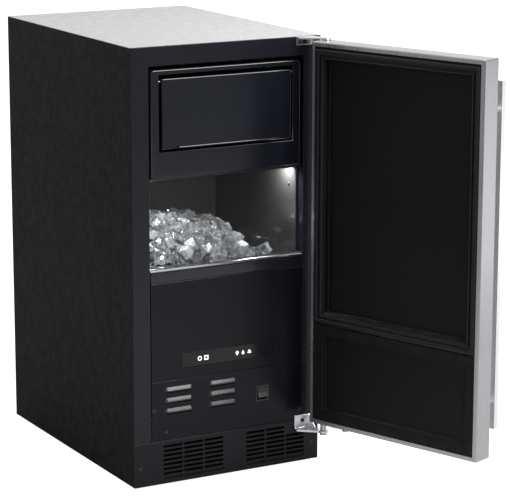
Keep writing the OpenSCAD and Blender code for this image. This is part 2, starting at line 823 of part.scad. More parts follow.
// Hermetic compressor: domed shell on a flat foot plate
module compressor() {
    z = pan_z + grommet_h;
    dome = 26;
    color("#15161a") translate([comp_x, comp_y, z]) {
        rotate_extrude() polygon(concat([[0, 6], [comp_r, 6]],
            [for (a = [0 : 10 : 90]) [comp_r - dome + dome * cos(a), comp_h - dome + dome * sin(a)]],
            [[0, comp_h]]));
        difference() {
            translate([-comp_r - 4, -comp_r + 4, 3]) cube([2 * comp_r + 8, 2 * comp_r - 8, 3]);
            for (sx = [-1, 1], sy = [-1, 1]) rod_z(sx * (comp_r - 6), sy * (comp_r - 14), 0, 5.2, 8);
        }
    }
}

// Rubber mounts under the compressor's foot plate
module compressor_mounts() {
    color("#202020") for (sx = [-1, 1], sy = [-1, 1])
        translate([comp_x + sx * (comp_r - 6), comp_y + sy * (comp_r - 14), pan_z]) {
            cylinder(r = 9, h = grommet_h + 3);
            cylinder(r = 5, h = grommet_h + 6);
        }
}

// Finned condenser behind the kick plate's left vents
module condenser() {
    x_a = fan_x - cond_w / 2;
    z_a = pan_z;
    pitch = (cond_w - 6) / (cond_fins - 1);
    color("#b9bcc0") {
        for (i = [0 : cond_fins - 1]) {
            end = i == 0 || i == cond_fins - 1;
            translate([x_a + 3 + i * pitch - (end ? 1 : 0.4), cond_y, z_a + (end ? 0 : 4)])
                cube([end ? 2 : 0.8, cond_t, cond_h - (end ? 0 : 8)]);
        }
        for (i = [0 : 5], j = [0, 1])
            rod_x(x_a, cond_y + 11 + 16 * j, z_a + 14 + i * (cond_h - 28) / 5, tube_r + 0.5, cond_w);
    }
}

// Shroud that joins the condenser to the fan
module fan_shroud() {
    x_a = fan_x - cond_w / 2;
    y_a = cond_y + cond_t;
    color("#2b2d31") {
        difference() {
            box([x_a, y_a, pan_z], [x_a + cond_w, y_a + 30, pan_z + cond_h]);
            box([x_a + 2, y_a - 1, pan_z + 2], [x_a + cond_w - 2, y_a + 12, pan_z + cond_h - 2]);
            rod_y(fan_x, y_a + 10, fan_z, fan_r + 3, 30);
        }
    }
}

// Fan motor on a cross strut behind the shroud
module fan_motor() {
    y_a = cond_y + cond_t + 30;
    color("#3c3f44") {
        rod_y(fan_x, y_a + 6, fan_z, 21, 38);
        rod_y(fan_x, fan_y - 4, fan_z, 3, 28);
        for (s = [-1, 1]) {
            box([fan_x + s * 46 - 26, y_a + 10, fan_z - 6], [fan_x + s * 46 + 26, y_a + 14, fan_z + 6]);
            box([fan_x + s * 69 - 3, y_a, fan_z - 6], [fan_x + s * 69 + 3, y_a + 14, fan_z + 6]);
        }
    }
}

// Condenser fan: a hub with pitched blades, turning on the motor's shaft
module condenser_fan() {
    hub_r = 16;
    hub_l = 16;
    color("#55585d") translate([fan_x, fan_y - 4, fan_z]) rotate([-90, 0, 0]) difference() {
        union() {
            cylinder(r = hub_r, h = hub_l);
            intersection() {
                for (i = [0 : fan_blades - 1]) rotate([0, 0, 360 / fan_blades * i]) rotate([28, 0, 0])
                    translate([hub_r - 4, -17, 5]) cube([fan_r, 34, 1.8]);
                translate([0, 0, -1]) cylinder(r = fan_r, h = hub_l + 2);
            }
        }
        translate([0, 0, -2]) cylinder(r = 3.05, h = hub_l + 4);
    }
}

// Filter-drier and the line that rises from the compressor to the evaporator
module refrigerant_lines() {
    x = comp_x - comp_r - 26;
    y_foam = bin_y1 + bin_t + foam_t;
    y = y_foam + 42;
    z_top = z_cover1 - 40;
    color("#b4713c") {
        rod_z(x, y, pan_z, 11, 96);
        rod_z(x, y, pan_z + 96, tube_r, z_top - pan_z - 96);
        translate([x, y - 18, z_top]) rotate([0, -90, 0])
            rotate_extrude(angle = 90) translate([18, 0]) circle(tube_r);
        rod_y(x, y_foam, z_top + 18, tube_r, y - 18 - y_foam);
    }
}

// Water inlet valve: coil, body and the threaded spigot through the back panel
module water_valve() {
    y_in = yb - skin_t;
    color("#e9e9e6") {
        rod_y(inlet_x, y_in, valve_z, inlet_r, skin_t + inlet_l);
        rod_y(inlet_x, y_in - 30, valve_z, inlet_r + 3, 30);
        rod_z(inlet_x, y_in - 15, valve_z + 8, 11, 36);
        box([inlet_x - 24, y_in - 3, valve_z - 20], [inlet_x + 24, y_in, valve_z + 20]);
    }
}

// Drain spigot with its flange inside the back panel
module drain_spigot() {
    y_in = yb - skin_t;
    color("#8f9296") difference() {
        union() {
            rod_y(spigot_x, y_in - 3, spigot_z, spigot_r + 6, 3);
            rod_y(spigot_x, y_in - 24, spigot_z, spigot_r, 24 + skin_t + spigot_l);
        }
        rod_y(spigot_x, y_in - 25, spigot_z, spigot_r - 2, 27 + skin_t + spigot_l);
    }
}

// Gland of the power lead, empty
module cord_gland() {
    y_in = yb - skin_t;
    color("#101012") difference() {
        union() {
            rod_y(gland_x, y_in - 8, gland_z, gland_r + 4, 8 + skin_t + 5);
            rod_y(gland_x, y_in - 3, gland_z, gland_r + 7, 3);
        }
        rod_y(gland_x, y_in - 9, gland_z, gland_r, 16 + skin_t);
    }
}

// Control box on the back panel, above the machine compartment
module control_box() {
    y_in = yb - skin_t;
    color("#5c6066") {
        box([-130, y_in - 60, 420], [60, y_in, 600]);
        for (x = [-100, -40, 20]) rod_z(x, y_in - 30, 600, 7, 12);
    }
}

// Frame of the rocker switch, clipped into the louvre panel
module switch_bezel() {
    x = rocker_x;
    z = z_kick + rocker_z;
    w = rocker_w / 2;
    h = rocker_h / 2;
    color("#08080a") difference() {
        union() {
            box([x - w - 3.5, yf - 1.2, z - h - 3.5], [x + w + 3.5, yf, z + h + 3.5]);
            box([x - w - 2, yf, z - h - 2], [x + w + 2, yf + 16, z + h + 2]);
        }
        box([x - w - 0.6, yf - 2, z - h - 0.8], [x + w + 0.6, yf + 14, z + h + 0.8]);
        rod_x(x - w - 3, yf + 6, z, rocker_pin_r + 0.05, rocker_w + 6);
    }
}

// Rocker with its two pivot stubs, pressed in at the top
module rocker_switch() {
    w = rocker_w / 2;
    h = rocker_h / 2;
    color("#131316") translate([rocker_x, yf + 6, z_kick + rocker_z]) rotate([-rocker_tilt, 0, 0]) {
        along_x(-w, rocker_w) polygon([
            [2.5 - rocker_nose, 0], [-rocker_nose, h - 3], [-4, h - 0.4], [4, h - 6],
            [4, 6 - h], [-4, 0.4 - h], [-rocker_nose, 3 - h]
        ]);
        rod_x(-w - 1.8, 0, 0, rocker_pin_r, rocker_w + 3.6);
    }
}

// ---------------------------------------------------------------- feet

// Threaded sockets that stand on the base pan, one over each foot
module foot_sockets() {
    color("#a9acb0") for (sx = [-1, 1], sy = [-1, 1]) difference() {
        rod_z(sx * foot_x, sy * foot_y, pan_z, stud_r + 4, 32);
        rod_z(sx * foot_x, sy * foot_y, pan_z - 1, stud_r + stud_play, 34);
    }
}

// One levelling foot: round pad, hexagon and stud
module levelling_foot(sx, sy) {
    x = sx * foot_x;
    y = sy * foot_y;
    color("#17181a") {
        rod_z(x, y, 0, pad_r, pad_t);
        rod_z(x, y, pad_t, 9, nut_h, 6);
        rod_z(x, y, pad_t + nut_h, stud_r, stud_l);
    }
}

// ---------------------------------------------------------------- hinges

// Lower and upper hinge brackets: wall plate, arm and rounded pivot end
module hinge_brackets() {
    x_b = x_out - bracket_in;
    x_a = x_b - bracket_w;
    y_w = yf - bracket_t;
    z_low = arm_z0;
    reach = yf - hinge_y;
    color("#d9dbde") {
        difference() {
            union() {
                box([x_a, y_w, z_low], [x_b, yf, dz0 + 2]);
                arm(x_a, z_low, arm_low_t, 9);
                along_x(x_b - 3, 3) polygon([
                    [yf, z_low], [yf - reach + 12, z_low], [yf - reach + 12, z_low + arm_low_t + 3],
                    [y_w - 2, dz0 - 2], [y_w, dz0 + 2], [yf, dz0 + 2]
                ]);
            }
            rod_z(hinge_x, hinge_y, z_low - 1, hinge_pin_r, arm_low_t + 2);
        }
        difference() {
            union() {
                box([x_a, y_w, bracket_up_z], [x_b, yf, arm_up_z + arm_up_t]);
                arm(x_a, arm_up_z, arm_up_t, 8);
            }
            rod_z(hinge_x, hinge_y, arm_up_z - 1, hinge_pin_r, arm_up_t + 2);
        }
    }
}

// Flat arm from the wall plate to the pivot, ending in a round of radius r
module arm(x_a, z, t, r) {
    x_b = x_out - bracket_in;
    translate([0, 0, z]) linear_extrude(t) {
        polygon([
            [x_a, yf], [x_a, yf - 10], [hinge_x - r, hinge_y], [hinge_x, hinge_y - r],
            [hinge_x + r, hinge_y], [x_b, yf - 6], [x_b, yf]
        ]);
        translate([hinge_x, hinge_y]) circle(r);
    }
}

// Lower pin with its head and collar, and the plain upper pin
module hinge_pins() {
    color("#b9bbbe") {
        rod_z(hinge_x, hinge_y, arm_z0 - 4, 7, 4);
        rod_z(hinge_x, hinge_y, arm_z0, hinge_pin_r, arm_drop + bush_l - 2);
        difference() {
            rod_z(hinge_x, hinge_y, arm_z0 + arm_low_t, bush_r, arm_drop - arm_low_t - 0.4);
            rod_z(hinge_x, hinge_y, arm_z0, hinge_pin_r - 0.5, arm_drop);
        }
        rod_z(hinge_x, hinge_y, dz1 - bush_l + 2, hinge_pin_r, z1 - dz1 + bush_l - 2.4);
    }
}

// Screw heads on the front frame, the brackets and the panels
module cabinet_screws() {
    x_b = x_out - bracket_in - bracket_w / 2;
    y_w = yf - bracket_t;
    color("#a7a9ad") {
        screw_front(x_b, y_w, dz0 - 8);
        screw_front(x_b, y_w, arm_up_z - bracket_up_h / 2);
        screw_front(-x_open + 5, yf, z_kick + 58);
        screw_front(-x_open + 29, yf, z_kick + 16);
        screw_front(x_open - 6, yf, z_kick + 20);
        screw_front(-x_out + 11, yf, z0 + 35);
        screw_front(x_out - 15, yf, z0 + 33);
        for (s = [-1, 1], z = [z0 + 40, z0 + cab_h / 2, z1 - 30])
            rod_y(s * (x_skin - side_return / 2), yb, z, screw_r, screw_head);
    }
}

// ---------------------------------------------------------------- door

// Steel wrapper of the door: face, four edges and the inner return
module door_shell() {
    s = door_skin;
    f = door_flange;
    color("#b7b8bc") door_place() difference() {
        box([dxl, yo, dz0], [dxr, yi, dz1]);
        box([dxl + s, yo + s, dz0 + s], [dxr - s, yi - s, dz1 - s]);
        box([dxl + f, yi - s - 1, dz0 + f], [dxr - f, yi + 1, dz1 - f]);
        for (z = [dz0 - 1, dz1 - s - 1]) rod_z(hinge_x, hinge_y, z, bush_r, s + 2);
    }
}

// Foam core between the wrapper and the two liners
module door_core() {
    s = door_skin;
    f = door_flange;
    y_b = yo + s;
    color("#e7dcae") door_place() difference() {
        box([dxl + s, y_b, dz0 + s], [dxr - s, door_back - dish_up - liner_t, dz1 - s]);
        for (z = [dz0, dz1 - bush_l - 2])
            box([dxr - block_w, y_b - 1, z], [dxr, y_b + block_w, z + bush_l + 2]);
    }
}

// A moulded liner panel with a dished middle: rim outline and dish outline from their corners
module liner_panel(lo, hi, rim, dish, y) {
    difference() {
        union() {
            box([lo[0], y - liner_t, lo[1]], [hi[0], y, hi[1]]);
            box([lo[0] + rim, y - liner_t - dish, lo[1] + rim], [hi[0] - rim, y, hi[1] - rim]);
        }
        box([lo[0] + rim + liner_t, y - dish, lo[1] + rim + liner_t],
            [hi[0] - rim - liner_t, y + 1, hi[1] - rim - liner_t]);
    }
}

module door_upper_liner() {
    f = door_flange + 0.5;
    color("#0d0e10") door_place()
        liner_panel([dxl + f, door_split], [dxr - f, dz1 - f], gasket_w - 2, dish_up, step_y);
}

// Plain lower liner with two plugged holes
module door_lower_liner() {
    f = door_flange + 0.5;
    y = yi - 1;
    color("#101114") door_place() difference() {
        liner_panel([dxl + f, dz0 + f], [dxr - f, door_split - 1], gasket_w - 2, dish_low, y);
        for (p = [[110, 61], [149, 64]])
            rod_y(dxr - p[0], y - dish_low - 0.8, dz0 + p[1], 3.5, 5);
    }
}

// Magnetic gasket around the upper liner
module door_gasket() {
    f = door_flange + 1;
    w = gasket_w - 4;
    y_a = step_y;
    color("#1b1c22") door_place() difference() {
        box([dxl + f, y_a, door_split + 1], [dxr - f, yi + gasket_proud, gasket_z1]);
        box([dxl + f + w, y_a - 1, door_split + 1 + w], [dxr - f - w, yf, gasket_z1 - w]);
    }
}

// Steel blocks in the hinge-side corners with the pins' bushes, and the closing plate below
module door_hinge_blocks() {
    s = door_skin;
    y_b = yo + s;
    color("#8b8e92") door_place() {
        for (top = [false, true]) {
            z = top ? dz1 - s - bush_l : dz0 + s;
            difference() {
                union() {
                    box([dxr - block_w, y_b, z], [dxr - s, y_b + block_w - 4, z + bush_l]);
                    rod_z(hinge_x, hinge_y, top ? dz1 - s : dz0, bush_r, s);
                }
                rod_z(hinge_x, hinge_y, top ? dz1 - bush_l : dz0 - 1, hinge_pin_r + hinge_play, bush_l + 1);
            }
        }
        box([dxr - 84, yi - 26, dz0 - 2], [dxr - 34, yi - 6, dz0]);
        rod_z(dxr - 46, yi - 14, dz0 - 4, 4.5, 2);
        rod_z(dxr - 74, yi - 14, dz0 - 6, 6, 4);
    }
}

// Handle bar on two round standoffs
module door_handle() {
    y_b = yo - bar_gap - bar_t;
    color("#babbbf") door_place() {
        box([bar_x0, y_b, bar_z0], [bar_x0 + bar_w, y_b + bar_t, bar_z0 + bar_l]);
        for (z = [bar_z0 + post_in, bar_z0 + bar_l - post_in])
            rod_y(bar_x0 + bar_w / 2, y_b + bar_t, z, post_r, bar_gap);
    }
}

side_panel(-1);  // side_panel_left
side_panel(1);  // side_panel_right
top_panel();
back_panel();
base_pan();
front_stile(-1);  // front_stile_left
front_stile(1);  // front_stile_right
front_rail_top();
kick_plate();
louver_panel();
control_panel();
display_window();
display_icons();
display_board();
bin_lip();
bin_liner();
insulation_foam();
bin_plugs();
bin_light();
bin_sensor();
ice_heap();
evaporator_cover();
access_flap();
flap_pins();
module_frame();
evaporator_plate();
evaporator_coil();
cutter_grid();
water_trough();
water_distributor();
pump_motor();
pump_impeller();
compressor();
compressor_mounts();
condenser();
fan_shroud();
fan_motor();
condenser_fan();
refrigerant_lines();
water_valve();
drain_spigot();
cord_gland();
control_box();
switch_bezel();
rocker_switch();
foot_sockets();
levelling_foot(-1, -1);  // foot_front_left
levelling_foot(1, -1);  // foot_front_right
levelling_foot(-1, 1);  // foot_back_left
levelling_foot(1, 1);  // foot_back_right
hinge_brackets();
hinge_pins();
cabinet_screws();
door_shell();
door_core();
door_upper_liner();
door_lower_liner();
door_gasket();
door_hinge_blocks();
door_handle();
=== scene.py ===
"""Looks of a built-under clear-ice maker: its meshes, finishes, ice, light and view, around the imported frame.

Sizes are in millimetres in the row's frame. Door pieces are shaped with the door closed, then swung to
where it stands.
"""

from __future__ import annotations

import json
import logging
import math
import random
from dataclasses import dataclass, field
from enum import Enum
from typing import Callable, Sequence

import bmesh
import bpy
import numpy as np
from mathutils import Euler, Matrix, Vector


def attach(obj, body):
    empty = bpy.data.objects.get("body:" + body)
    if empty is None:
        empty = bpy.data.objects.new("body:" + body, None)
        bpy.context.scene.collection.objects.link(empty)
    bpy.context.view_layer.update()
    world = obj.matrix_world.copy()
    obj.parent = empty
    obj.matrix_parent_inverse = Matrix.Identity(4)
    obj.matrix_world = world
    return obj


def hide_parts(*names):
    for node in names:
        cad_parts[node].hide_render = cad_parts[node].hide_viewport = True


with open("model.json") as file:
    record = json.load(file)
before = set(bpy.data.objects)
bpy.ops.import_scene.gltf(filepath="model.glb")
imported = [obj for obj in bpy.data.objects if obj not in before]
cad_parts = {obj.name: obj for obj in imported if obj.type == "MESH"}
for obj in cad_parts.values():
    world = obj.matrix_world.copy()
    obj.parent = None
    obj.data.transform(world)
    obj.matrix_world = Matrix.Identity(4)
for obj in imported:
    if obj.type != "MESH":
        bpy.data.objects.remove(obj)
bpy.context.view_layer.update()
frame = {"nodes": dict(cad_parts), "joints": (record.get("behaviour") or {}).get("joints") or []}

MM = 0.001
LOG = logging.getLogger("ice_maker")
Colour = tuple[float, float, float]
Point = tuple[float, float]
Hole = tuple[float, float, float, float]
EdgeTest = Callable[[Vector, Vector], bool]
Tree = bpy.types.NodeTree
Socket = bpy.types.NodeSocket
Node = bpy.types.Node

DUST_COLOUR = (0.5, 0.49, 0.47)
COAT_ROUGH = 0.08
BRUSH_LENGTH = 260.0
TOUCH = 0.01
MERGE = 0.002
FLAT_ANGLE = math.radians(0.6)
CREASE_ANGLE = math.radians(32)


class Texture(Enum):
    """Relief that a finish can carry."""

    PEBBLE = "pebbled powder coat"
    PEEL = "orange peel of a smooth paint or moulding"
    BRUSH_UP = "brushed along the height"
    BRUSH_ACROSS = "brushed along the width"
    SPANGLE = "zinc crystals"
    CELLS = "foam cells"
    CAST = "casting skin"


# ---------------------------------------------------------------- node groups


def wire(tree: Tree, kind: str, inputs: dict | None = None, **settings: object) -> Node:
    """Adds one node and sets or links its inputs.

    Args:
        tree: The node tree that the node goes into.
        kind: The node's type name.
        inputs: Input name or number to a value, or to the output socket that feeds it.
        settings: Attributes of the node.

    Returns:
        The new node.
    """
    node = tree.nodes.new(kind)
    for key, value in settings.items():
        setattr(node, key, value)
    for key, value in (inputs or {}).items():
        if isinstance(value, Socket):
            tree.links.new(value, node.inputs[key])
        else:
            node.inputs[key].default_value = value
    return node


def math_node(tree: Tree, operation: str, a: object, b: object = 0.0) -> Socket:
    """Adds a Math node.

    Args:
        tree: The node tree.
        operation: The Math node's operation.
        a: First value or socket.
        b: Second value or socket.

    Returns:
        Its output.
    """
    return wire(tree, "ShaderNodeMath", {0: a, 1: b}, operation=operation).outputs[0]


def span(tree: Tree, value: object, low: float, high: float, to: Point = (0.0, 1.0)) -> Socket:
    """Maps a value from one range to another, clamped.

    Args:
        tree: The node tree.
        value: The socket to map.
        low: Start of its range.
        high: End of its range.
        to: The range it is mapped to.

    Returns:
        The mapped output.
    """
    return wire(tree, "ShaderNodeMapRange", {0: value, 1: low, 2: high, 3: to[0], 4: to[1]}).outputs[0]


def new_group(name: str, inputs: dict[str, object], outputs: Sequence[str]) -> tuple[Tree, dict, Node]:
    """Starts a shader node group.

    Args:
        name: The group's name.
        inputs: Input names with their default values; a three-number default makes a vector.
        outputs: Names of its value outputs.

    Returns:
        The tree, its input sockets by name, and its output node.
    """
    tree = bpy.data.node_groups.new(name, "ShaderNodeTree")
    for key, value in inputs.items():
        kind = "NodeSocketVector" if isinstance(value, tuple) else "NodeSocketFloat"
        tree.interface.new_socket(name=key, in_out="INPUT", socket_type=kind).default_value = value
    for key in outputs:
        tree.interface.new_socket(name=key, in_out="OUTPUT", socket_type="NodeSocketFloat")
    source = tree.nodes.new("NodeGroupInput")
    return tree, {key: source.outputs[key] for key in inputs}, tree.nodes.new("NodeGroupOutput")


def object_point(tree: Tree) -> Socket:
    """Returns the surface point in the piece's own coordinates."""
    return tree.nodes.new("ShaderNodeTexCoord").outputs["Object"]


class Effects:
    """The shader node groups that several finishes share, each built once."""

    def __init__(self) -> None:
        """Builds every group."""
        self.blotches = self._blotches()
        self.pebbles = self._pebbles()
        self.lines = self._lines()
        self.crystals = self._crystals()
        self.edge_wear = self._edge_wear()
        self.dust = self._dust()

    def _blotches(self) -> Tree:
        """Builds the group of soft uneven patches: Value and a finer Grain.

        Returns:
            The group.
        """
        tree, given, out = new_group("Blotches", {"Scale": 9.0, "Grain Scale": 900.0}, ("Value", "Grain"))
        point = object_point(tree)
        broad = wire(tree, "ShaderNodeTexNoise", {"Vector": point, "Scale": given["Scale"], "Detail": 4.0})
        grain = given["Grain Scale"]
        fine = wire(tree, "ShaderNodeTexNoise", {"Vector": point, "Scale": grain, "Detail": 2.0})
        tree.links.new(span(tree, broad.outputs[0], 0.32, 0.68), out.inputs["Value"])
        tree.links.new(fine.outputs[0], out.inputs["Grain"])
        return tree

    def _pebbles(self) -> Tree:
        """Builds the group of rounded bumps: Height, and Value that is high on their tops, a painted shade that
        darkens the hollows between them.

        Returns:
            The group.
        """
        tree, given, out = new_group("Pebbles", {"Scale": 420.0, "Jitter": 0.0012}, ("Height", "Value"))
        point = object_point(tree)
        stir = wire(tree, "ShaderNodeTexNoise", {"Vector": point, "Scale": 160.0, "Detail": 1.0})
        shift = wire(tree, "ShaderNodeVectorMath", {0: stir.outputs["Color"]}, operation="SCALE")
        tree.links.new(given["Jitter"], shift.inputs["Scale"])
        moved = wire(tree, "ShaderNodeVectorMath", {0: point, 1: shift.outputs[0]}, operation="ADD")
        cells = wire(tree, "ShaderNodeTexVoronoi", {"Vector": moved.outputs[0], "Scale": given["Scale"]},
                     feature="SMOOTH_F1")
        cells.inputs["Smoothness"].default_value = 0.6
        height = span(tree, cells.outputs["Distance"], 0.05, 0.65, (1.0, 0.0))
        tree.links.new(height, out.inputs["Height"])
        # Value is height squared: lighter tops and painted shade in the hollows between the bumps.
        tree.links.new(math_node(tree, "POWER", height, 2.0), out.inputs["Value"])
        return tree

    def _lines(self) -> Tree:
        """Builds the group of brushed lines: Height and Value, long along the short axis of Stretch.

        Returns:
            The group.
        """
        tree, given, out = new_group("Brushed lines", {"Stretch": (1400.0, 1400.0, 5.0)}, ("Height", "Value"))
        scaled = wire(tree, "ShaderNodeVectorMath", {0: object_point(tree), 1: given["Stretch"]},
                      operation="MULTIPLY")
        fine = wire(tree, "ShaderNodeTexNoise", {"Vector": scaled.outputs[0], "Scale": 1.0, "Detail": 3.0})
        broad = wire(tree, "ShaderNodeTexNoise", {"Vector": scaled.outputs[0], "Scale": 0.13, "Detail": 2.0})
        both = math_node(tree, "ADD", fine.outputs[0], broad.outputs[0])
        tree.links.new(math_node(tree, "MULTIPLY", both, 0.5), out.inputs["Height"])
        tree.links.new(span(tree, both, 0.75, 1.25), out.inputs["Value"])
        return tree

    def _crystals(self) -> Tree:
        """Builds the group of flat crystal patches: Value, one level for each crystal, and its Height.

        Returns:
            The group.
        """
        tree, given, out = new_group("Crystals", {"Scale": 90.0}, ("Height", "Value"))
        cells = wire(tree, "ShaderNodeTexVoronoi", {"Vector": object_point(tree), "Scale": given["Scale"]})
        level = wire(tree, "ShaderNodeSeparateColor", {0: cells.outputs["Color"]}).outputs[0]
        tree.links.new(level, out.inputs["Value"])
        tree.links.new(math_node(tree, "MULTIPLY", level, 0.3), out.inputs["Height"])
        return tree

    def _edge_wear(self) -> Tree:
        """Builds the group that masks rubbed outer edges: Mask.

        Returns:
            The group.
        """
        tree, given, out = new_group("Edge wear", {"Amount": 0.3, "Scale": 60.0}, ("Mask",))
        edge = span(tree, tree.nodes.new("ShaderNodeNewGeometry").outputs["Pointiness"], 0.52, 0.62)
        noise = wire(tree, "ShaderNodeTexNoise",
                     {"Vector": object_point(tree), "Scale": given["Scale"], "Detail": 5.0})
        broken = math_node(tree, "MULTIPLY", edge, span(tree, noise.outputs[0], 0.4, 0.6))
        tree.links.new(math_node(tree, "MULTIPLY", broken, given["Amount"]), out.inputs["Mask"])
        return tree

    def _dust(self) -> Tree:
        """Builds the group that masks dust lying on upward faces: Mask.

        Returns:
            The group.
        """
        tree, given, out = new_group("Dust", {"Amount": 0.1, "Scale": 45.0}, ("Mask",))
        normal = tree.nodes.new("ShaderNodeNewGeometry").outputs["Normal"]
        up = wire(tree, "ShaderNodeSeparateXYZ", {0: normal}).outputs["Z"]
        noise = wire(tree, "ShaderNodeTexNoise",
                     {"Vector": object_point(tree), "Scale": given["Scale"], "Detail": 6.0})
        lying = math_node(tree, "MULTIPLY", span(tree, up, 0.5, 1.0), span(tree, noise.outputs[0], 0.3, 0.75))
        tree.links.new(math_node(tree, "MULTIPLY", lying, given["Amount"]), out.inputs["Mask"])
        return tree


EFFECTS = Effects()


def use_group(tree: Tree, group: Tree, **values: object) -> dict[str, Socket]:
    """Places a node group in a material.

    Args:
        tree: The material's node tree.
        group: The group.
        values: Its inputs, with underscores for the spaces in their names.

    Returns:
        Its outputs by name.
    """
    node = wire(tree, "ShaderNodeGroup", node_tree=group)
    for key, value in values.items():
        node.inputs[key.replace("_", " ")].default_value = value
    return {socket.name: socket for socket in node.outputs}


def blend_colours(tree: Tree, factor: object, a: object, b: object) -> Socket:
    """Mixes two colours.

    Args:
        tree: The material's node tree.
        factor: Share of the second colour.
        a: First colour, as three numbers or a socket.
        b: Second colour, as three numbers or a socket.

    Returns:
        The mixed colour.
    """
    node = wire(tree, "ShaderNodeMix", data_type="RGBA")
    for index, value in ((0, factor), (6, a), (7, b)):
        if isinstance(value, Socket):
            tree.links.new(value, node.inputs[index])
        else:
            node.inputs[index].default_value = (*value, 1.0) if isinstance(value, tuple) else value
    return node.outputs[2]


def bump(tree: Tree, height: Socket, depth: float) -> Socket:
    """Turns a height into a normal.

    Args:
        tree: The material's node tree.
        height: A value from 0 to 1.
        depth: How far 1 stands out, in millimetres.

    Returns:
        The normal.
    """
    inputs = {"Height": height, "Strength": 1.0, "Distance": depth * MM}
    return wire(tree, "ShaderNodeBump", inputs).outputs[0]


# ---------------------------------------------------------------- finishes


@dataclass(frozen=True)
class Surface:
    """Any finish: it has a name, and its material is built once."""

    name: str

    def material(self) -> bpy.types.Material:
        """Finds or makes this finish's material.

        Returns:
            The material.
        """
        made = bpy.data.materials.get(self.name)
        if made is None:
            made = bpy.data.materials.new(self.name)
            made.use_nodes = True
            self.shade(made.node_tree, made.node_tree.nodes["Principled BSDF"])
        return made

    def shade(self, tree: Tree, shader: Node) -> None:
        """Wires the Principled shader in the material's tree; each kind of finish has its own way."""
        raise NotImplementedError


@dataclass(frozen=True)
class Finish(Surface):
    """An opaque finish: two shades in soft patches, a relief, rubbed edges and a little dust."""

    colour: Colour
    tint: Colour
    rough: float = 0.4
    rough_spread: float = 0.08
    metal: float = 0.0
    specular: float = 0.5
    coat: float = 0.0
    texture: Texture = Texture.PEEL
    scale: float = 420.0
    depth: float = 0.02
    wear: float = 0.12
    wear_colour: Colour = (0.12, 0.12, 0.13)
    dust: float = 0.04

    def shade(self, tree: Tree, shader: Node) -> None:
        """Wires the shader.

        Args:
            tree: The material's node tree.
            shader: Its Principled shader.
        """
        patches = use_group(tree, EFFECTS.blotches, Grain_Scale=self.scale)
        height, value = self._relief(tree, patches)
        # The relief's value joins the patches in the tone; for pebbled, celled and cast textures it paints
        # shade into the relief's hollows.
        halves = [math_node(tree, "MULTIPLY", source, 0.5) for source in (patches["Value"], value)]
        tone = math_node(tree, "ADD", *halves)
        colour = blend_colours(tree, tone, self.colour, self.tint)
        worn = use_group(tree, EFFECTS.edge_wear, Amount=self.wear)["Mask"]
        colour = blend_colours(tree, worn, colour, self.wear_colour)
        dusty = use_group(tree, EFFECTS.dust, Amount=self.dust)["Mask"]
        tree.links.new(blend_colours(tree, dusty, colour, DUST_COLOUR), shader.inputs["Base Color"])
        low, high = self.rough - self.rough_spread, self.rough + self.rough_spread
        tree.links.new(span(tree, tone, 0.0, 1.0, (max(low, 0.03), high)), shader.inputs["Roughness"])
        tree.links.new(bump(tree, height, self.depth), shader.inputs["Normal"])
        shader.inputs["Metallic"].default_value = self.metal
        shader.inputs["Specular IOR Level"].default_value = self.specular
        shader.inputs["Coat Weight"].default_value = self.coat
        shader.inputs["Coat Roughness"].default_value = COAT_ROUGH

    def _relief(self, tree: Tree, patches: dict) -> tuple[Socket, Socket]:
        """Places the finish's texture.

        Args:
            tree: The material's node tree.
            patches: Outputs of the blotches group.

        Returns:
            Its height and its value.
        """
        if self.texture in (Texture.BRUSH_UP, Texture.BRUSH_ACROSS):
            fine, along = self.scale, self.scale / BRUSH_LENGTH
            stretch = (fine, fine, along) if self.texture is Texture.BRUSH_UP else (along, fine, fine)
            made = use_group(tree, EFFECTS.lines, Stretch=stretch)
        elif self.texture is Texture.SPANGLE:
            made = use_group(tree, EFFECTS.crystals, Scale=self.scale)
        elif self.texture is Texture.PEEL:
            return patches["Grain"], patches["Grain"]
        else:
            made = use_group(tree, EFFECTS.pebbles, Scale=self.scale)
        return made["Height"], made["Value"]


@dataclass(frozen=True)
class IceFinish(Surface):
    """Clear ice with a white veil of trapped air in part of it."""

    rough: float = 0.02
    rough_spread: float = 0.06
    clear: float = 0.96
    cloud: float = 0.15
    colour: Colour = (0.95, 0.97, 1.0)
    veil: Colour = (0.78, 0.82, 0.86)
    ripple: float = 0.5
    refraction: float = 1.31

    def shade(self, tree: Tree, shader: Node) -> None:
        """Wires the shader.

        Args:
            tree: The material's node tree.
            shader: Its Principled shader.
        """
        patches = use_group(tree, EFFECTS.blotches, Scale=55.0, Grain_Scale=240.0)
        veiled = math_node(tree, "MULTIPLY", patches["Value"], self.cloud)
        tree.links.new(blend_colours(tree, veiled, self.colour, self.veil), shader.inputs["Base Color"])
        rough = span(tree, patches["Value"], 0.0, 1.0, (self.rough, self.rough + self.rough_spread))
        tree.links.new(rough, shader.inputs["Roughness"])
        tree.links.new(bump(tree, patches["Grain"], self.ripple), shader.inputs["Normal"])
        shader.inputs["IOR"].default_value = self.refraction
        shader.inputs["Transmission Weight"].default_value = self.clear


@dataclass(frozen=True)
class LampFinish(Surface):
    """A glowing surface, a little dimmer in soft patches."""

    colour: Colour
    strength: float
    dim: float = 0.92
    rough: float = 0.3
    depth: float = 0.02

    def shade(self, tree: Tree, shader: Node) -> None:
        """Wires the shader.

        Args:
            tree: The material's node tree.
            shader: Its Principled shader.
        """
        patches = use_group(tree, EFFECTS.blotches, Scale=120.0, Grain_Scale=700.0)
        colour = blend_colours(tree, patches["Value"], self.colour, tuple(self.dim * c for c in self.colour))
        tree.links.new(colour, shader.inputs["Base Color"])
        tree.links.new(colour, shader.inputs["Emission Color"])
        tree.links.new(bump(tree, patches["Grain"], self.depth), shader.inputs["Normal"])
        shader.inputs["Emission Strength"].default_value = self.strength
        shader.inputs["Roughness"].default_value = self.rough


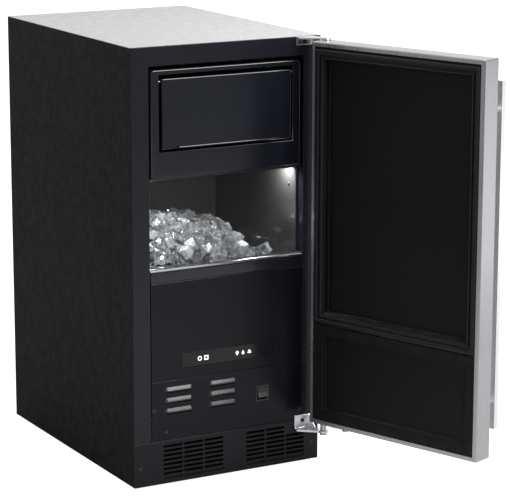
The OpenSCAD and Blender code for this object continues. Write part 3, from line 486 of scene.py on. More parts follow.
@dataclass(frozen=True)
class BackdropFinish(Surface):
    """Pale matt paper that the camera sees as plain white."""

    colour: Colour = (0.44, 0.44, 0.44)
    tint: Colour = (0.46, 0.46, 0.46)
    rough: float = 0.9
    specular: float = 0.1

    def shade(self, tree: Tree, shader: Node) -> None:
        """Wires the shader.

        Args:
            tree: The material's node tree.
            shader: Its Principled shader.
        """
        patches = use_group(tree, EFFECTS.blotches, Scale=2.0, Grain_Scale=300.0)
        colour = blend_colours(tree, patches["Value"], self.colour, self.tint)
        tree.links.new(colour, shader.inputs["Base Color"])
        shader.inputs["Roughness"].default_value = self.rough
        shader.inputs["Specular IOR Level"].default_value = self.specular
        shader.inputs["Emission Color"].default_value = (1, 1, 1, 1)
        seen = tree.nodes.new("ShaderNodeLightPath").outputs["Is Camera Ray"]
        tree.links.new(seen, shader.inputs["Emission Strength"])


SIDE_BLACK = Finish(
    "side_powder_coat", (0.0015, 0.0017, 0.0022), (0.005, 0.0053, 0.006), rough=0.46, rough_spread=0.03,
    specular=0.07, texture=Texture.PEBBLE, scale=250.0, depth=0.3)
FRAME_SLATE = Finish(
    "frame_satin_slate", (0.005, 0.0055, 0.009), (0.007, 0.0075, 0.012), rough=0.27, rough_spread=0.02,
    specular=0.36, depth=0.004, wear=0.0)
TOP_GREY = Finish(
    "top_grey_paint", (0.285, 0.285, 0.29), (0.30, 0.30, 0.305), rough=0.42, rough_spread=0.03, depth=0.01,
    wear_colour=(0.8, 0.8, 0.8))
GALVANISED = Finish(
    "galvanised_sheet", (0.42, 0.44, 0.46), (0.60, 0.62, 0.64), rough=0.38, rough_spread=0.14, metal=1.0,
    texture=Texture.SPANGLE, scale=85.0, depth=0.02, wear_colour=(0.7, 0.7, 0.72))
KICK_BLACK = Finish(
    "kick_plate_paint", (0.003, 0.0035, 0.006), (0.005, 0.0055, 0.009), rough=0.3, rough_spread=0.02,
    specular=0.3, depth=0.004, wear=0.0)
PANEL_BLACK = Finish(
    "panel_moulding", (0.002, 0.0025, 0.005), (0.004, 0.0045, 0.008), rough=0.25, rough_spread=0.02,
    specular=0.24, scale=700.0, depth=0.004, wear=0.0)
# Painted sheen: a lighter, shinier copy of the panel's finish for the hoods pressed in the same sheet.
HOOD_PAINTED_SHEEN = Finish(
    "pressed_hood_painted_sheen", (0.006, 0.0065, 0.010), (0.010, 0.011, 0.015), rough=0.2, rough_spread=0.02,
    specular=0.95, scale=700.0, depth=0.004, wear=0.0)
WINDOW_BLACK = Finish(
    "display_glass", (0.004, 0.004, 0.005), (0.007, 0.007, 0.008), rough=0.1, rough_spread=0.04,
    specular=0.3, coat=0.1, depth=0.001, wear=0.0)
LINER_BLACK = Finish(
    "bin_liner_gloss", (0.024, 0.024, 0.024), (0.034, 0.034, 0.034), rough=0.13, rough_spread=0.04,
    specular=0.5, scale=60.0, depth=0.05, wear=0.0, dust=0.0)
COVER_BLACK = Finish(
    "cover_moulding", (0.003, 0.0035, 0.007), (0.005, 0.006, 0.010), rough=0.2, rough_spread=0.02,
    specular=0.5, coat=0.2, scale=650.0, depth=0.004, wear=0.0)
STAINLESS = Finish(
    "brushed_stainless", (0.42, 0.425, 0.44), (0.49, 0.495, 0.51), rough=0.3, metal=1.0,
    texture=Texture.BRUSH_UP, scale=1500.0, depth=0.003, wear=0.05, wear_colour=(0.75, 0.75, 0.76),
    dust=0.0)
HANDLE_STEEL = Finish(
    "satin_handle", (0.84, 0.84, 0.85), (0.9, 0.9, 0.91), rough=0.34, metal=1.0, texture=Texture.BRUSH_UP,
    scale=1500.0, depth=0.004, wear=0.0, dust=0.0)
DOOR_LINER = Finish(
    "door_liner_moulding", (0.003, 0.0033, 0.004), (0.005, 0.0055, 0.0065), rough=0.42, specular=0.16,
    scale=800.0, depth=0.012, wear=0.04)
GASKET = Finish(
    "gasket_vinyl", (0.004, 0.0045, 0.006), (0.007, 0.008, 0.010), rough=0.4, specular=0.3, scale=900.0,
    depth=0.01, wear=0.06)
ZINC = Finish(
    "zinc_plate", (0.72, 0.72, 0.74), (0.86, 0.86, 0.88), rough=0.24, rough_spread=0.1, metal=1.0,
    scale=500.0, depth=0.01, wear_colour=(0.95, 0.95, 0.95), dust=0.0)
STEEL = Finish(
    "turned_steel", (0.45, 0.45, 0.46), (0.6, 0.6, 0.61), rough=0.3, metal=1.0, scale=1500.0, depth=0.01,
    dust=0.0)
SCREW_BLACK = Finish(
    "blackened_screw", (0.03, 0.03, 0.035), (0.05, 0.05, 0.055), rough=0.34, metal=0.6, scale=1200.0,
    depth=0.01)
COPPER = Finish(
    "copper_tube", (0.72, 0.36, 0.2), (0.5, 0.22, 0.12), rough=0.32, metal=1.0, scale=160.0, depth=0.02,
    wear_colour=(0.9, 0.5, 0.3))
FOAM = Finish(
    "rigid_foam", (0.66, 0.58, 0.36), (0.78, 0.70, 0.46), rough=0.85, texture=Texture.CELLS, scale=330.0,
    depth=0.5, wear=0.0)
BOARD = Finish(
    "circuit_board", (0.01, 0.09, 0.03), (0.02, 0.14, 0.05), rough=0.35, scale=600.0, depth=0.03,
    wear_colour=(0.5, 0.36, 0.1))
ENAMEL = Finish(
    "black_enamel", (0.008, 0.008, 0.01), (0.016, 0.016, 0.018), rough=0.25, coat=0.3, texture=Texture.CAST,
    scale=120.0, depth=0.08)
WHITE_PLASTIC = Finish(
    "white_moulding", (0.72, 0.72, 0.69), (0.8, 0.8, 0.77), rough=0.4, scale=700.0, depth=0.01,
    wear_colour=(0.6, 0.6, 0.58))
DARK_PLASTIC = Finish(
    "dark_moulding", (0.016, 0.017, 0.019), (0.03, 0.031, 0.034), rough=0.42, scale=650.0, depth=0.012)
RUBBER = Finish(
    "black_rubber", (0.012, 0.012, 0.012), (0.022, 0.022, 0.021), rough=0.7, specular=0.25,
    texture=Texture.CAST, scale=500.0, depth=0.05)
FIN_METAL = Finish(
    "aluminium_fin", (0.66, 0.67, 0.68), (0.8, 0.8, 0.81), rough=0.34, metal=1.0,
    texture=Texture.BRUSH_ACROSS, scale=900.0, depth=0.01, dust=0.2)
# Painted shade: a flat unlit black for sheets set behind gaps and slots where only shade is seen.
PAINTED_SHADE_BLACK = Finish(
    "unlit_recess", (0.002, 0.002, 0.002), (0.003, 0.003, 0.003), rough=0.8, specular=0.05, depth=0.01,
    wear=0.0, dust=0.0)
ICE_CLEAR = IceFinish("clear_ice")
ICE_CLOUDY = IceFinish("cloudy_ice", rough=0.08, clear=0.8, cloud=0.4)
LAMP = LampFinish("lamp_lens", (0.95, 0.97, 1.0), 6.0)
ICONS = LampFinish("lit_symbols", (0.95, 0.95, 0.97), 0.9)
PAPER = BackdropFinish("studio_paper")


# ---------------------------------------------------------------- meshes


def mesh_box(node: str, place: Matrix | None = None) -> tuple[Vector, Vector]:
    """Measures a CAD node.

    Args:
        node: The node's name.
        place: Where the door's closed frame stands now, for a door node.

    Returns:
        Its low and high corners in millimetres, in the closed frame if place is given.
    """
    back = (place or Matrix.Identity(4)).inverted()
    points = [back @ (vertex.co / MM) for vertex in frame["nodes"][node].data.vertices]
    low, high = ([pick(point[i] for point in points) for i in range(3)] for pick in (min, max))
    return Vector(low), Vector(high)


def on_front(face: float, top: float | None = None) -> EdgeTest:
    """Makes the test that passes the edges of a flat front.

    Args:
        face: Y of the front.
        top: Z of its upper edge, if only that edge is wanted.

    Returns:
        The test.
    """
    return lambda a, b: max(a.y, b.y) < face + TOUCH and (top is None or min(a.z, b.z) > top - TOUCH)


def dress(finish: Surface, *nodes: str) -> None:
    """Gives CAD nodes that stay as they are their material.

    Args:
        finish: The finish.
        nodes: Names of the nodes.
    """
    for node in nodes:
        piece = frame["nodes"][node]
        if not piece.material_slots:
            piece.data.materials.append(finish.material())
        for slot in piece.material_slots:
            slot.material = finish.material()


class Maker:
    """Collects closed shapes in millimetres and turns them into one piece in metres."""

    def __init__(self, place: Matrix | None = None) -> None:
        """Starts an empty mesh; place puts the finished shape where it stands."""
        self.bm = bmesh.new()
        self.place = place or Matrix.Identity(4)

    def block(self, lo: Sequence[float], hi: Sequence[float], radius: float = 0.0, steps: int = 3) -> None:
        """Adds a box, with rounded edges if radius is over 0.

        Args:
            lo: Low corner.
            hi: High corner.
            radius: Radius of its edges.
            steps: Segments of each rounded edge.
        """
        part = bmesh.new()
        size = [b - a for a, b in zip(lo, hi)]
        middle = [(a + b) / 2 for a, b in zip(lo, hi)]
        place = Matrix.Translation(middle) @ Matrix.Diagonal((*size, 1.0))
        bmesh.ops.create_cube(part, size=1.0, matrix=place)
        if radius > 0:
            bmesh.ops.bevel(part, geom=part.edges[:], offset=radius, segments=steps, profile=0.5,
                            affect="EDGES")
        self.take(part)

    def prism(self, outline: Sequence[Point], axis: int, start: object, end: object) -> None:
        """Adds an outline run along one axis.

        Args:
            outline: Points in the plane of the other two axes, in their order.
            axis: 0, 1 or 2 for X, Y or Z.
            start: Where it starts, or a function of the outline's point that says so.
            end: Where it ends, in the same way.
        """
        part = bmesh.new()
        rings = []
        for place in (start, end):
            ring = []
            for point in outline:
                corner = list(point)
                corner.insert(axis, place(point) if callable(place) else place)
                ring.append(part.verts.new(corner))
            rings.append(ring)
        count = len(outline)
        for i in range(count):
            j = (i + 1) % count
            part.faces.new((rings[0][i], rings[0][j], rings[1][j], rings[1][i]))
        part.faces.new(rings[0][::-1])
        part.faces.new(rings[1])
        self.take(part)

    def pierced(self, lo: Sequence[float], hi: Sequence[float], holes: Sequence[Hole]) -> None:
        """Adds an upright plate with rectangular holes, as one closed shape.

        Args:
            lo: Low corner.
            hi: High corner.
            holes: Each hole's low x, low z, high x and high z.
        """
        part = bmesh.new()
        xs = sorted({lo[0], hi[0], *(h[0] for h in holes), *(h[2] for h in holes)})
        zs = sorted({lo[2], hi[2], *(h[1] for h in holes), *(h[3] for h in holes)})
        verts: dict[tuple[int, int, int], bmesh.types.BMVert] = {}

        def corner(i: int, j: int, side: int) -> bmesh.types.BMVert:
            """Finds or makes the plate's vertex at one crossing.

            Args:
                i: Number of the crossing across.
                j: Number of the crossing up.
                side: 0 on the front, 1 on the back.

            Returns:
                The vertex.
            """
            key = (i, j, side)
            if key not in verts:
                verts[key] = part.verts.new((xs[i], (lo[1], hi[1])[side], zs[j]))
            return verts[key]

        def solid(i: int, j: int) -> bool:
            """Says whether a cell is material.

            Args:
                i: Number of the cell across.
                j: Number of the cell up.

            Returns:
                False in a hole or past the plate.
            """
            if not (0 <= i < len(xs) - 1 and 0 <= j < len(zs) - 1):
                return False
            x, z = (xs[i] + xs[i + 1]) / 2, (zs[j] + zs[j + 1]) / 2
            return not any(h[0] < x < h[2] and h[1] < z < h[3] for h in holes)

        for i in range(len(xs) - 1):
            for j in range(len(zs) - 1):
                if not solid(i, j):
                    continue
                part.faces.new([corner(a, b, 0) for a, b in ((i, j), (i + 1, j), (i + 1, j + 1), (i, j + 1))])
                part.faces.new([corner(a, b, 1) for a, b in ((i, j), (i, j + 1), (i + 1, j + 1), (i + 1, j))])
                sides = ((i - 1, j, (i, j), (i, j + 1)), (i + 1, j, (i + 1, j + 1), (i + 1, j)),
                         (i, j - 1, (i + 1, j), (i, j)), (i, j + 1, (i, j + 1), (i + 1, j + 1)))
                for ni, nj, p, q in sides:
                    if not solid(ni, nj):
                        part.faces.new((corner(*p, 0), corner(*q, 0), corner(*q, 1), corner(*p, 1)))
        bmesh.ops.dissolve_limit(part, angle_limit=0.01, verts=part.verts[:], edges=part.edges[:])
        self.take(part)

    def lathe(self, foot: Sequence[float], axis: Sequence[float], profile: Sequence[Point],
              steps: int = 32) -> None:
        """Adds a turned shape.

        Args:
            foot: Where its axis starts.
            axis: Direction of the axis.
            profile: Radius and height pairs from one end to the other; it is closed on the axis at both ends.
            steps: Segments round it.
        """
        part = bmesh.new()
        turn = Vector((0, 0, 1)).rotation_difference(Vector(axis)).to_matrix().to_4x4()
        place = Matrix.Translation(foot) @ turn
        angles = [math.tau * k / steps for k in range(steps)]
        rings = []
        for radius, height in profile:
            ring = [Vector((radius * math.cos(a), radius * math.sin(a), height)) for a in angles]
            rings.append([part.verts.new(place @ point) for point in ring])
        for low, high in zip(rings, rings[1:]):
            for k in range(steps):
                part.faces.new((low[k], low[(k + 1) % steps], high[(k + 1) % steps], high[k]))
        part.faces.new(rings[0][::-1])
        part.faces.new(rings[-1])
        self.take(part)

    def frame_run(self, section: Sequence[Point], lo: Point, hi: Point) -> None:
        """Adds a closed section run round a rectangle with mitred corners.

        Args:
            section: Closed section as distance in from the rectangle and Y.
            lo: Low x and z of the rectangle.
            hi: High x and z of the rectangle.
        """
        part = bmesh.new()
        corners = ((lo[0], lo[1], 1, 1), (hi[0], lo[1], -1, 1), (hi[0], hi[1], -1, -1), (lo[0], hi[1], 1, -1))
        rings = [[part.verts.new((x + sx * d, y, z + sz * d)) for d, y in section]
                 for x, z, sx, sz in corners]
        count = len(section)
        for k in range(4):
            a, b = rings[k], rings[(k + 1) % 4]
            for i in range(count):
                j = (i + 1) % count
                part.faces.new((a[i], a[j], b[j], b[i]))
        self.take(part)

    def copy_node(self, *nodes: str) -> None:
        """Adds the shape of CAD nodes, with their flat faces whole again.

        Args:
            nodes: Names of the nodes.
        """
        for node in nodes:
            part = bmesh.new()
            part.from_mesh(frame["nodes"][node].data)
            part.transform(self.place.inverted() @ Matrix.Scale(1 / MM, 4))
            bmesh.ops.remove_doubles(part, verts=part.verts[:], dist=MERGE)
            bmesh.ops.dissolve_limit(part, angle_limit=FLAT_ANGLE, verts=part.verts[:], edges=part.edges[:])
            self.take(part)

    def round_edges(self, radius: float, steps: int = 3, test: EdgeTest | None = None) -> None:
        """Rounds the sharp edges whose two ends pass a test.

        Args:
            radius: Radius of the rounding.
            steps: Segments of it.
            test: Takes an edge's two ends; all edges pass if it is left out.
        """
        chosen = [e for e in self.bm.edges if e.is_manifold and e.calc_face_angle(0.0) > CREASE_ANGLE
                  and (test is None or test(e.verts[0].co, e.verts[1].co))]
        if chosen:
            bmesh.ops.bevel(self.bm, geom=chosen, offset=radius, segments=steps, profile=0.5, affect="EDGES",
                            clamp_overlap=True)

    def take(self, part: bmesh.types.BMesh) -> None:
        """Moves a finished shape into this mesh.

        Args:
            part: The shape, which is used up.
        """
        bmesh.ops.recalc_face_normals(part, faces=part.faces[:])
        kept = bpy.data.meshes.new("part")
        part.to_mesh(kept)
        part.free()
        self.bm.from_mesh(kept)
        bpy.data.meshes.remove(kept)

    def piece(self, name: str, finish: Surface | Sequence[Surface], body: str, slot: str, *nodes: str,
              sharp: float = 35.0) -> bpy.types.Object:
        """Turns what was collected into a piece that rides on a body.

        Args:
            name: The piece's name.
            finish: Its finish, or several whose order is that of the faces' material numbers.
            body: The CAD body that it rides on.
            slot: The record's material slot; not used.
            nodes: CAD nodes that it stands for.
            sharp: Angle in degrees over which an edge stays sharp.

        Returns:
            The object.
        """
        self.bm.transform(Matrix.Scale(MM, 4) @ self.place)
        mesh = bpy.data.meshes.new(name)
        self.bm.to_mesh(mesh)
        self.bm.free()
        for each in [finish] if isinstance(finish, Surface) else finish:
            mesh.materials.append(each.material())
        mesh.shade_smooth()
        mesh.set_sharp_from_angle(angle=math.radians(sharp))
        made = bpy.data.objects.new(name, mesh)
        bpy.context.scene.collection.objects.link(made)
        flat = made.modifiers.new("Flat faces", "WEIGHTED_NORMAL")
        flat.keep_sharp = True
        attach(made, body)
        if nodes:
            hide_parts(*nodes)
        return made


def soften(node: str, name: str, finish: Surface, body: str, slot: str, radius: float, steps: int = 2,
           place: Matrix | None = None) -> None:
    """Makes the piece that is a CAD node with its sharp edges rounded.

    Args:
        node: The node.
        name: The piece's name.
        finish: Its finish.
        body: The CAD body that it rides on.
        slot: The record's material slot, passed on to Maker.piece.
        radius: Radius of its edges.
        steps: Segments of each rounded edge.
        place: Where the door's closed frame stands now, for a door node.
    """
    made = Maker(place)
    made.copy_node(node)
    made.round_edges(radius, steps)
    made.piece(name, finish, body, slot, node)


def arc(centre: Point, radius: float, start: float, end: float, steps: int = 8) -> list[Point]:
    """Lists points on an arc.

    Args:
        centre: Its centre.
        radius: Its radius.
        start: First angle in degrees.
        end: Last angle in degrees.
        steps: Segments.

    Returns:
        The points.
    """
    angles = [math.radians(start + (end - start) * k / steps) for k in range(steps + 1)]
    return [(centre[0] + radius * math.cos(a), centre[1] + radius * math.sin(a)) for a in angles]


# ---------------------------------------------------------------- cabinet


@dataclass
class Cabinet:
    """Outer panels and the slate front frame."""

    body: str = "cabinet"
    sheet_round: float = 0.5
    top_round: float = 0.45
    top_setback: float = 0.1
    fold: float = 1.3
    sheet: float = 1.5
    nose: float = 1.2
    mitre_gap: float = 0.3
    sharp: float = 50.0

    def build(self) -> None:
        """Makes every outer panel."""
        for side in ("left", "right"):
            soften(f"side_panel_{side}", f"side_sheet_{side}", SIDE_BLACK, self.body, "cabinet_black",
                   self.sheet_round)
            self._stile(side)
        self._rail()
        self._top()
        dress(GALVANISED, "back_panel")
        dress(KICK_BLACK, "base_pan")

    def _folded(self, inner: float, outer: float, face: float, back: float) -> list[Point]:
        """Draws an L of sheet with a rounded fold, from the outer edge round the fold to the return.

        Args:
            inner: Where the return stands, at the opening.
            outer: The cabinet's edge.
            face: Y of the front.
            back: Y of the return's end.

        Returns:
            Outline points as position across and Y.
        """
        way = 1.0 if outer > inner else -1.0
        r, t, lip = self.fold, self.sheet, self.nose
        bend = [(inner + way * (r - r * math.sin(a)), face + r - r * math.cos(a))
                for a in (math.radians(90 * k / 8) for k in range(9))]
        hollow = [(inner + way * (r - (r - t) * math.sin(a)), face + r - (r - t) * math.cos(a))
                  for a in (math.radians(90 * k / 8) for k in range(8, -1, -1))]
        nose = [(outer - way * (lip - lip * math.sin(a)), face + lip - lip * math.cos(a))
                for a in (math.radians(90 * k / 5) for k in range(5, -1, -1))]
        return [*nose, *bend, (inner, back), (inner + way * t, back), *hollow, (outer, face + t + lip - t)]

    def _stile(self, side: str) -> None:
        """Makes one upright with its mitred top.

        Args:
            side: Left or right.
        """
        lo, hi = mesh_box(f"front_stile_{side}")
        rail_lo, rail_hi = mesh_box("front_rail_top")
        inner, outer = (lo.x, hi.x) if side == "right" else (hi.x, lo.x)

        def top(point: Point) -> float:
            """Returns the mitre's height at one point of the outline."""
            share = max(0.0, min(1.0, (point[0] - inner) / (outer - inner)))
            return rail_lo.z + share * (rail_hi.z - rail_lo.z) - self.mitre_gap

        stile = Maker()
        stile.prism(self._folded(inner, outer, lo.y, hi.y), 2, lo.z, top)
        stile.piece(f"stile_{side}", FRAME_SLATE, self.body, "frame_slate", f"front_stile_{side}",
                    sharp=self.sharp)

    def _rail(self) -> None:
        """Makes the top rail between the mitres."""
        lo, hi = mesh_box("front_rail_top")
        stile = mesh_box("front_stile_right")[0].x
        outline = [(y, z) for z, y in self._folded(lo.z, hi.z, lo.y, hi.y)]

        def reach(point: Point) -> float:
            """Returns half the rail's length at one point of the outline."""
            share = max(0.0, min(1.0, (point[1] - lo.z) / (hi.z - lo.z)))
            return stile + share * (hi.x - stile)

        rail = Maker()
        rail.prism(outline, 0, lambda p: -reach(p), reach)
        rail.piece("top_rail", FRAME_SLATE, self.body, "frame_slate", "front_rail_top", sharp=self.sharp)

    def _top(self) -> None:
        """Makes the light top panel with its rolled front edge."""
        lo, hi = mesh_box("top_panel")
        top = Maker()
        top.block((lo.x, lo.y + self.top_setback, lo.z), hi, self.top_round)
        top.piece("top_sheet", TOP_GREY, self.body, "top_grey", "top_panel")


# ---------------------------------------------------------------- front panels


@dataclass
class FrontPanels:
    """Kick plate, louvre panel and control panel with its lit window."""

    body: str = "cabinet"
    slot_size: Point = (38.0, 4.6)
    vent_pitch: float = 8.4
    vent_rows: int = 8
    vent_cols: int = 3
    vent_rib: float = 3.5
    vent_left: float = 58.0
    vent_right: float = 30.0
    vent_first: float = 8.0
    vent_short: int = 2
    louvre: Point = (52.0, 3.2)
    louvre_pitch: float = 19.5
    louvre_first: float = 47.0
    louvre_rows: int = 3
    louvre_x: tuple[float, ...] = (-99.5, -9.8)
    hood_proud: float = 3.4
    hood_rise: float = 6.5
    hood_end: float = 5.0
    hood_side: float = 3.0
    hood_low: float = 0.45
    hood_crest: float = 0.86
    hood_inset: float = 0.9
    hood_back: float = 0.4
    top_round: float = 1.3
    edge: float = 0.4
    slot_edge: float = 0.5
    sheet: float = 1.5
    flange: float = 1.2
    window_gap: float = 0.3
    bezel_lap: float = 1.5
    screen_gap: float = 1.6
    screen_inset: float = 6.0
    screen_margin: float = 3.0
    wire_pitch: float = 2.8
    screen_wire: Point = (1.4, 0.9)
    screen_back: Point = (1.2, 2.0)

    def build(self) -> None:
        """Makes the three panels, the window and the symbols."""
        self._kick()
        self._louvres()
        self._control()
        dress(BOARD, "display_board")

    def _kick(self) -> None:
        """Makes the kick plate with its two groups of slots, and behind them a dust screen of wires on a solid
        backing sheet, all flat unlit black that paints the shade seen through the slots.
        """
        lo, hi = mesh_box("kick_plate")
        w, h = self.slot_size
        group = self.vent_cols * w + (self.vent_cols - 1) * self.vent_rib
        holes = []
        for number, start in enumerate((lo.x + self.vent_left, hi.x - self.vent_right - group)):
            for col in range(self.vent_cols):
                short = number == 1 and col == self.vent_cols - 1
                for row in range(self.vent_rows - (self.vent_short if short else 0)):
                    x = start + col * (w + self.vent_rib)
                    z = lo.z + self.vent_first + row * self.vent_pitch
                    holes.append((x, z, x + w, z + h))
        plate = Maker()
        plate.pierced((lo.x, lo.y, lo.z), (hi.x, lo.y + self.sheet, hi.z), holes)
        plate.round_edges(self.top_round, 4, on_front(lo.y, hi.z))
        plate.round_edges(self.slot_edge, 2, on_front(lo.y))
        plate.block((lo.x + self.flange, lo.y + self.sheet, lo.z),
                    (hi.x - self.flange, hi.y, lo.z + self.flange), 0.3, 1)
        plate.piece("kick_panel", KICK_BLACK, self.body, "kick_black", "kick_plate")
        # Painted shade: wires on a solid backing sheet in flat unlit black, so the slots look dark.
        screen = Maker()
        left, right = lo.x + self.screen_inset, hi.x - self.screen_inset
        front = lo.y + self.sheet + self.screen_gap
        near, far = self.screen_back
        screen.block((left, front + near, lo.z + self.screen_margin),
                     (right, front + far, hi.z - self.screen_margin), 0.2, 1)
        depth, tall = self.screen_wire
        first = self.screen_margin + 1
        for row in range(int((hi.z - lo.z - 2 * first) / self.wire_pitch)):
            z = lo.z + first + row * self.wire_pitch
            screen.block((left, front, z), (right, front + depth, z + tall), 0.3, 1)
        screen.piece("dust_screen_painted_shade", PAINTED_SHADE_BLACK, self.body, "kick_black")

    def _hood(self, panel: Maker, middle: float, foot: float, face: float) -> None:
        """Adds one pressed hood over its slot, rounded at both ends, its faces in the hood finish that paints a
        sheen on it.

        Args:
            panel: The louvre panel's mesh.
            middle: X of its middle.
            foot: Z of its open lower edge.
            face: Y of the panel's face.
        """
        half, cols, rows = self.louvre[0] / 2 + self.hood_side, 28, 8
        part = bmesh.new()

        def skin(u: float, v: float, inset: float) -> tuple[float, float, float]:
            """Places one point of the hood's outer or inner skin.

            Args:
                u: Share of the way across.
                v: Share of the way up.
                inset: How far the skin lies behind the outer one.

            Returns:
                The point.
            """
            x = -half + 2 * half * u
            side = min(1.0, (half - abs(x)) / self.hood_end)
            ends = math.sin(side * math.pi / 2)
            rise = self.hood_rise * (self.hood_low + (1 - self.hood_low) * ends) + 1.0
            swell = min(1.0, (1.0 - v) / self.hood_crest)
            y = face - max(0.0, self.hood_proud * ends * swell - inset)
            return middle + x, y, foot + rise * v

        grids = []
        for inset, shift in ((0.0, 0.0), (self.hood_inset, self.hood_back)):
            grids.append([[part.verts.new(Vector(skin(c / cols, r / rows, inset)) + Vector((0, shift, 0)))
                           for c in range(cols + 1)] for r in range(rows + 1)])
        for grid in grids:
            for r in range(rows):
                for c in range(cols):
                    part.faces.new((grid[r][c], grid[r][c + 1], grid[r + 1][c + 1], grid[r + 1][c]))
        outer, inner = grids
        for r in (0, rows):
            for c in range(cols):
                part.faces.new((outer[r][c], outer[r][c + 1], inner[r][c + 1], inner[r][c]))
        for c in (0, cols):
            for r in range(rows):
                part.faces.new((outer[r][c], outer[r + 1][c], inner[r + 1][c], inner[r][c]))
        # Second finish: painted sheen, lighter and shinier than the panel round the hood.
        for each in part.faces:
            each.material_index = 1
        panel.take(part)

    def _louvres(self) -> None:
        """Makes the louvre panel: slots, hoods and the switch's cut-out."""
        lo, hi = mesh_box("louver_panel")
        face = hi.y - self.sheet
        bezel_lo, bezel_hi = mesh_box("switch_bezel")
        w, h = self.louvre
        lap = self.bezel_lap
        feet = [(x, lo.z + self.louvre_first + row * self.louvre_pitch)
                for x in self.louvre_x for row in range(self.louvre_rows)]
        holes = [(x - w / 2, z, x + w / 2, z + h) for x, z in feet]
        holes.append((bezel_lo.x + lap, bezel_lo.z + lap, bezel_hi.x - lap, bezel_hi.z - lap))
        panel = Maker()
        panel.pierced((lo.x, face, lo.z), (hi.x, hi.y, hi.z), holes)
        panel.round_edges(self.top_round, 4, on_front(face, hi.z))
        panel.round_edges(self.edge, 2, on_front(face))
        for x, z in feet:
            self._hood(panel, x, z + h, face)
        panel.piece("louvre_panel", (PANEL_BLACK, HOOD_PAINTED_SHEEN), self.body, "panel_black", "louver_panel")

    def _control(self) -> None:
        """Makes the control panel, its window and the lit symbols."""
        lo, hi = mesh_box("control_panel")
        win_lo, win_hi = mesh_box("display_window")
        gap = self.window_gap
        panel = Maker()
        panel.pierced((lo.x, lo.y, lo.z), (hi.x, hi.y, hi.z),
                      [(win_lo.x - gap, win_lo.z - gap, win_hi.x + gap, win_hi.z + gap)])
        panel.round_edges(self.top_round, 4, on_front(lo.y, hi.z))
        panel.round_edges(self.edge, 2, on_front(lo.y))
        panel.piece("control_fascia", PANEL_BLACK, self.body, "panel_black", "control_panel")
        window = Maker()
        window.block(win_lo, win_hi, self.edge)
        window.piece("display_lens", WINDOW_BLACK, self.body, "window_black", "display_window")
        dress(ICONS, "display_icons")


@dataclass
class Switch:
    """Power rocker in its bezel."""

    edge: float = 0.5

    def build(self) -> None:
        """Makes the bezel and the rocker."""
        soften("switch_bezel", "rocker_bezel", DARK_PLASTIC, "cabinet", "dark_plastic", self.edge)
        soften("rocker_switch", "rocker", DARK_PLASTIC, "rocker", "dark_plastic", self.edge)


# ---------------------------------------------------------------- bin


@dataclass
class Bin:
    """Black bin with rounded corners, its lip, lamp, plugs and ice-level bulb."""

    body: str = "cabinet"
    corner: float = 4.5
    mouth: float = 1.1
    thick: float = 2.5
    flange: float = 4.0
    long_edge: float = 60.0
    nose: float = 8.0
    wall: float = 2.4
    lip_edge: float = 0.5
    lens_round: float = 2.0
    plug: tuple[Point, ...] = ((3.2, 0.0), (3.2, 0.5), (2.6, 1.3), (1.2, 1.7), (0.2, 1.8))
    plug_reach: float = 8.0

    def build(self) -> None:
        """Makes the bin's pieces."""
        self._liner()
        self._lip()
        plugs = Maker()
        for centre in self._plug_centres():
            plugs.lathe(centre, (-1, 0, 0), self.plug, 20)
        plugs.piece("liner_plugs", RUBBER, self.body, "rubber_black", "bin_plugs")
        lo, hi = mesh_box("bin_light")
        lens = Maker()
        lens.block(lo, hi, self.lens_round, 4)
        lens.piece("lamp_lens", LAMP, self.body, "lamp", "bin_light")
        dress(COPPER, "bin_sensor")
        dress(FOAM, "insulation_foam")

    def _plug_centres(self) -> list[Vector]:
        """Finds the plugs on the right wall.

        Returns:
            The middle of each, on the wall.
        """
        mesh = frame["nodes"]["bin_plugs"].data
        wall = mesh_box("bin_plugs")[1].x
        groups: list[list[Vector]] = []
        for vertex in mesh.vertices:
            point = vertex.co / MM
            near = [g for g in groups if (point - g[0]).yz.length < self.plug_reach]
            if near:
                near[0].append(point)
            else:
                groups.append([point])
        middles = []
        for group in groups:
            y = (min(p.y for p in group) + max(p.y for p in group)) / 2
            z = (min(p.z for p in group) + max(p.z for p in group)) / 2
            middles.append(Vector((wall, y, z)))
        return middles

    def _liner(self) -> None:
        """Makes the one-piece bin: rounded inner corners and a rolled mouth."""
        lo, hi = mesh_box("bin_liner")
        thick = self.thick
        inside = hi.x - self.flange
        liner = Maker()
        liner.copy_node("bin_liner")

        def inner(a: Vector, b: Vector) -> bool:
            """Says whether an edge is one of the cavity's long corners.

            Args:
                a: One end of the edge.
                b: Its other end.

            Returns:
                True if it is.
            """
            mid = (a + b) / 2
            wide = abs(abs(mid.x) - inside) < 0.1 or abs(mid.x) < 1
            deep = mid.y > lo.y + thick + 1 and mid.y < hi.y - thick + 0.1
            high = lo.z + thick - 0.1 < mid.z < hi.z - thick + 0.1
            return wide and deep and high and (a - b).length > self.long_edge

        def rim(a: Vector, b: Vector) -> bool:
            """Says whether an edge lies round the mouth."""
            return max(a.y, b.y) < lo.y + 0.05 and max(abs(a.x), abs(b.x)) < inside + 0.3

        liner.round_edges(self.corner, 6, inner)
        liner.round_edges(self.mouth, 3, rim)
        liner.piece("bin_shell", LINER_BLACK, self.body, "liner_black", "bin_liner")

    def _lip(self) -> None:
        """Makes the trim that rolls over into the bin."""
        lo, hi = mesh_box("bin_lip")
        n, w = self.nose, self.wall
        outer = arc((lo.y + n, hi.z - n), n, 180, 90, 12)
        inner = arc((lo.y + n, hi.z - n), n - w, 90, 180, 12)
        outline = [(lo.y, lo.z), *outer, (hi.y, hi.z), (hi.y, hi.z - w), *inner, (lo.y + w, lo.z)]
        lip = Maker()
        lip.prism(outline, 0, lo.x, hi.x)
        foot = on_front(lo.y)
        lip.round_edges(self.lip_edge, 2,
                        lambda a, b: abs(a.z - b.z) < TOUCH and a.z < lo.z + TOUCH and foot(a, b))
        lip.piece("bin_mouth_trim", COVER_BLACK, self.body, "panel_black", "bin_lip", sharp=40.0)


